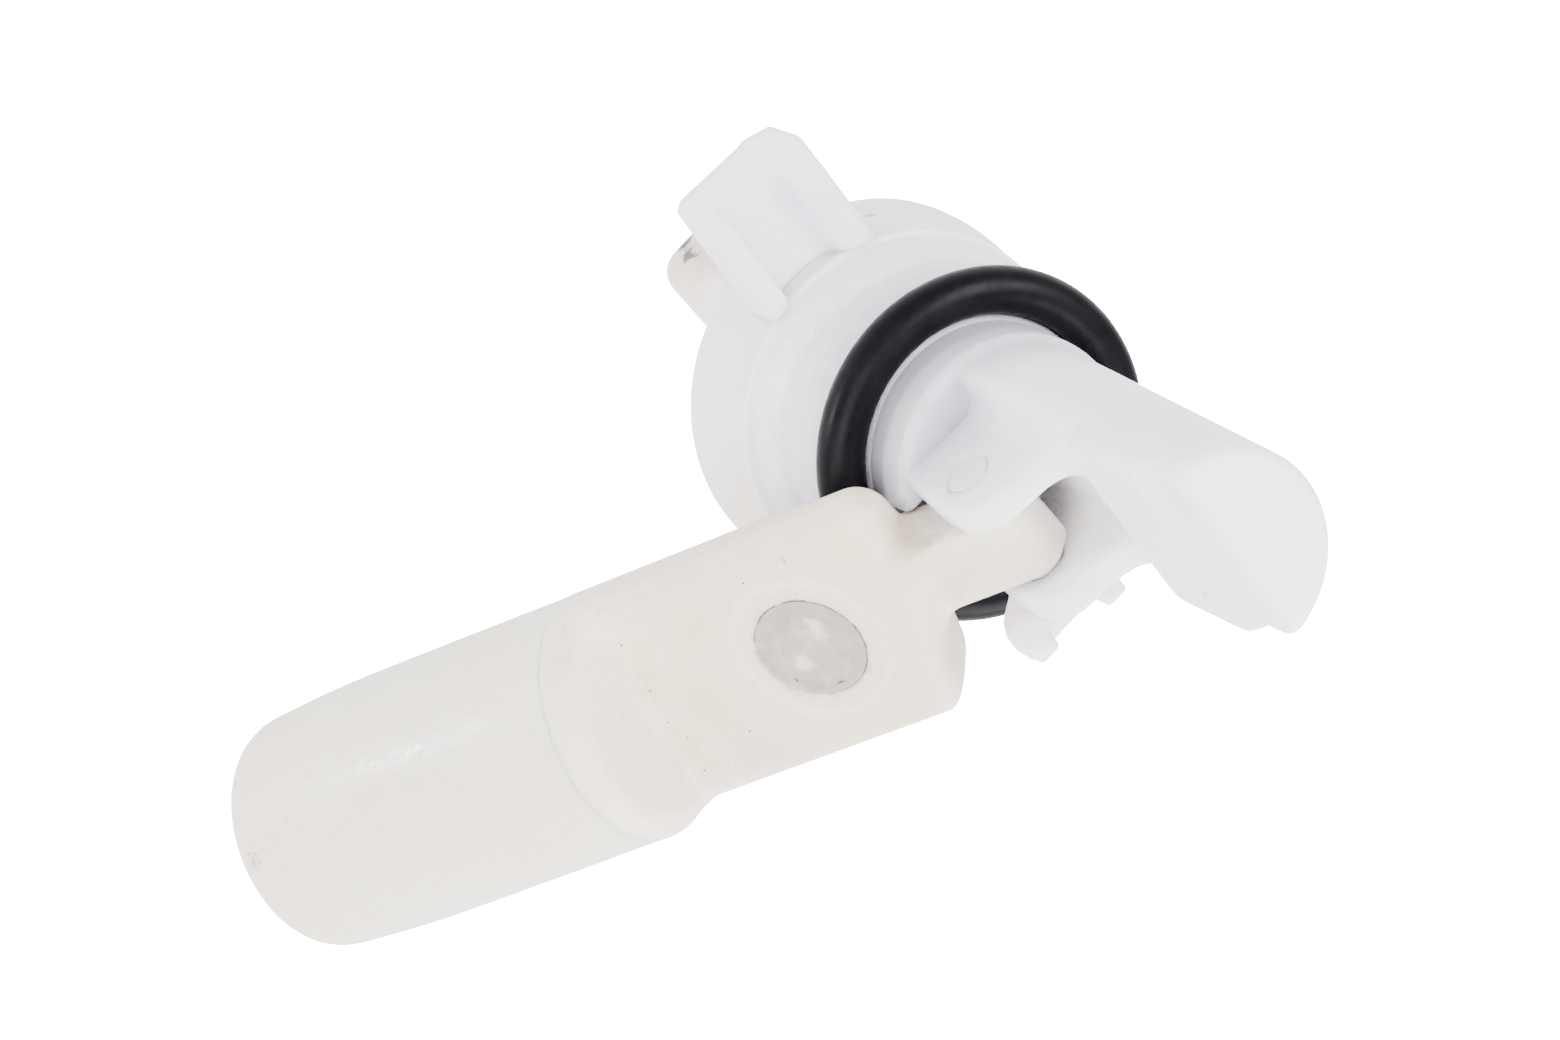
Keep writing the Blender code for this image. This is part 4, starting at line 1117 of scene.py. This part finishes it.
def build_sensor():
    """Every new piece of the sensor's body."""
    low, high = (-10.2, -11.2, FRONT_REAR - 0.5), (10.2, 10.2, FINGER_FRONT + 0.5)
    front = skin(front_field, low, high, 0.27)
    put("body_front", *front, "sensor", "white_moulding", WHITE, ["sensor_body"])
    put("body_rear", *body_rear(), "sensor", "white_moulding", WHITE)
    tab = skin(tab_field, (-25.4, -5.5, TAB_REAR - 0.5), (-8.0, 8.4, LIP_FRONT + 0.8), 0.22)
    put("thumb_tab", *tab, "sensor", "white_moulding", WHITE)
    put("housing_drum", *drum(), "sensor", "cream_moulding", CREAM, ["plug_housing"])
    put("housing_shroud", *shroud(), "sensor", "cream_moulding", CREAM)
    put("seal_ring", *ring(), "sensor", "seal_rubber", RUBBER, ["o_ring"])
    put("pivot_pin", *pin(), "sensor", "pin_steel", STEEL, ["hinge_pin"])
    clip = skin(clip_field, (6.0, -11.0, 5.6), (8.0, -0.6, 17.1), 0.16)
    put("pivot_clip", *clip, "sensor", "clip_plastic", CLIP, ["hinge_clip"])


def build_float():
    """Every new piece of the float."""
    put("float_block", *holder(), "float", "float_plastic", FLOAT_WHITE, ["float_holder"])
    put("float_tube", *cup(), "float", "float_plastic", FLOAT_WHITE, ["float_cup"])
    put("magnet_disc", *disc(), "float", "magnet_disc", DISC, ["magnet_cover"])


def dress_nodes():
    """Gives each carried-over node a worked finish."""
    tin = plain_finish("tinned_brass", (0.75, 0.73, 0.68), 0.3, 0.8, Metallic=1.0)
    copper = plain_finish("tinned_copper", (0.80, 0.78, 0.74), 0.3, 0.85, Metallic=1.0)
    looks = {
        "terminal_carrier": plain_finish("carrier_plastic", (0.05, 0.05, 0.055), 0.5, 0.7),
        "terminal_pin_left": tin,
        "terminal_pin_right": tin,
        "crimp_left": tin,
        "crimp_right": tin,
        "crimp_front": tin,
        "reed_lead_front": copper,
        "reed_lead_rear": copper,
        "return_wire": copper,
        "potting_plug": plain_finish("potting_resin", (0.05, 0.05, 0.05), 0.3, 0.7),
        "reed_glass": plain_finish(
            "switch_glass", (0.75, 0.86, 0.80), 0.04, 0.97, Transmission_Weight=0.9
        ),
        "wire_sleeve": plain_finish("sleeve_plastic", (0.80, 0.78, 0.70), 0.5, 0.9),
        "reed_carrier": plain_finish("strip_plastic", (0.20, 0.32, 0.24), 0.5, 0.85),
        "magnet": plain_finish("magnet_ferrite", (0.06, 0.06, 0.065), 0.6, 0.8),
    }
    for name, finish in looks.items():
        for slot in frame["nodes"][name].material_slots:
            slot.material = finish


# ---------------------------------------------------------------- stage, light and camera

FLOOR_DROP = 0.07
FLOOR_SIZE = 4.0
FLOOR_GLOW = 40.0

SURROUND_COLOUR = (0.97, 0.975, 1.0, 1.0)
SURROUND_STRENGTH = 0.85
# Name, direction from the part, distance and side in metres, and watts.
SOFT_BOXES = (
    ("top_box", (-0.1, 0.65, 0.75), 0.5, 0.30, 5.6),
    ("side_box", (-0.784, -0.568, -0.252), 0.44, 0.06, 3.6),
    ("band_box", (-0.876, -0.248, -0.415), 0.395, 0.05, 1.2),
    ("front_box", (-0.3, -0.8, 0.6), 0.6, 0.5, 4.5),
    ("camera_box", (-0.45, -0.3, 0.85), 0.55, 0.3, 3.5),
    ("fill_box", (0.8, -0.2, 0.5), 0.6, 0.5, 11.0),
)

CAMERA_LENS = 124.615
CAMERA_PLACE = (-0.198948, -0.072054, 0.339453)
CAMERA_RIGHT = (0.58484, 0.67950, 0.44300)
CAMERA_UP = (-0.65016, 0.71925, -0.24491)
CAMERA_BACK = (-0.48504, -0.14479, 0.86242)


def build_floor():
    """A large pale floor below the part, lit evenly so that it reads as clean white."""
    low = cad_box[0][2] - FLOOR_DROP
    half = FLOOR_SIZE / 2.0
    mesh = bpy.data.meshes.new("floor")
    square = [(-half, -half, low), (half, -half, low), (half, half, low), (-half, half, low)]
    mesh.from_pydata(square, [], [(0, 1, 2, 3)])
    floor = bpy.data.objects.new("floor", mesh)
    bpy.context.scene.collection.objects.link(floor)
    made = bpy.data.materials.new("floor_white")
    made.use_nodes = True
    tree = made.node_tree
    matt = tree.nodes["Principled BSDF"]
    matt.inputs["Base Color"].default_value = (0.8, 0.8, 0.8, 1.0)
    matt.inputs["Roughness"].default_value = 0.9
    glow = add(tree, "Emission", {"Color": (1.0, 1.0, 1.0, 1.0), "Strength": FLOOR_GLOW})
    seen = add(tree, "LightPath").outputs["Is Camera Ray"]
    mix = add(tree, "MixShader", {0: seen, 1: matt.outputs[0], 2: glow.outputs[0]})
    tree.links.new(mix.outputs[0], tree.nodes["Material Output"].inputs["Surface"])
    mesh.materials.append(made)


def soft_box(name, toward, distance, size, watts):
    """A square area light in a direction from the part's middle, facing it."""
    centre = (Vector(cad_box[0]) + Vector(cad_box[1])) / 2.0
    light = bpy.data.lights.new(name, "AREA")
    light.shape = "SQUARE"
    light.size = size
    light.energy = watts
    lamp = bpy.data.objects.new(name, light)
    way = Vector(toward).normalized()
    lamp.location = centre + way * distance
    lamp.rotation_euler = way.to_track_quat("Z", "Y").to_euler()
    lamp.visible_camera = False
    bpy.context.scene.collection.objects.link(lamp)


def build_light():
    """A pale surround and the soft boxes."""
    world = bpy.data.worlds.new("surround")
    world.use_nodes = True
    background = world.node_tree.nodes["Background"]
    background.inputs["Color"].default_value = SURROUND_COLOUR
    background.inputs["Strength"].default_value = SURROUND_STRENGTH
    bpy.context.scene.world = world
    for box in SOFT_BOXES:
        soft_box(*box)


def build_camera():
    """The camera that looks down on the nose from the tab's side."""
    camera = bpy.data.cameras.new("camera")
    camera.lens = CAMERA_LENS
    camera.sensor_width = 36.0
    camera.clip_start = 0.01
    camera_object = bpy.data.objects.new("camera", camera)
    turn = Matrix((CAMERA_RIGHT, CAMERA_UP, CAMERA_BACK)).transposed().to_4x4()
    camera_object.matrix_world = Matrix.Translation(CAMERA_PLACE) @ turn
    bpy.context.scene.collection.objects.link(camera_object)
    bpy.context.scene.camera = camera_object


build_sensor()
build_float()
dress_nodes()
build_floor()
build_light()
build_camera()
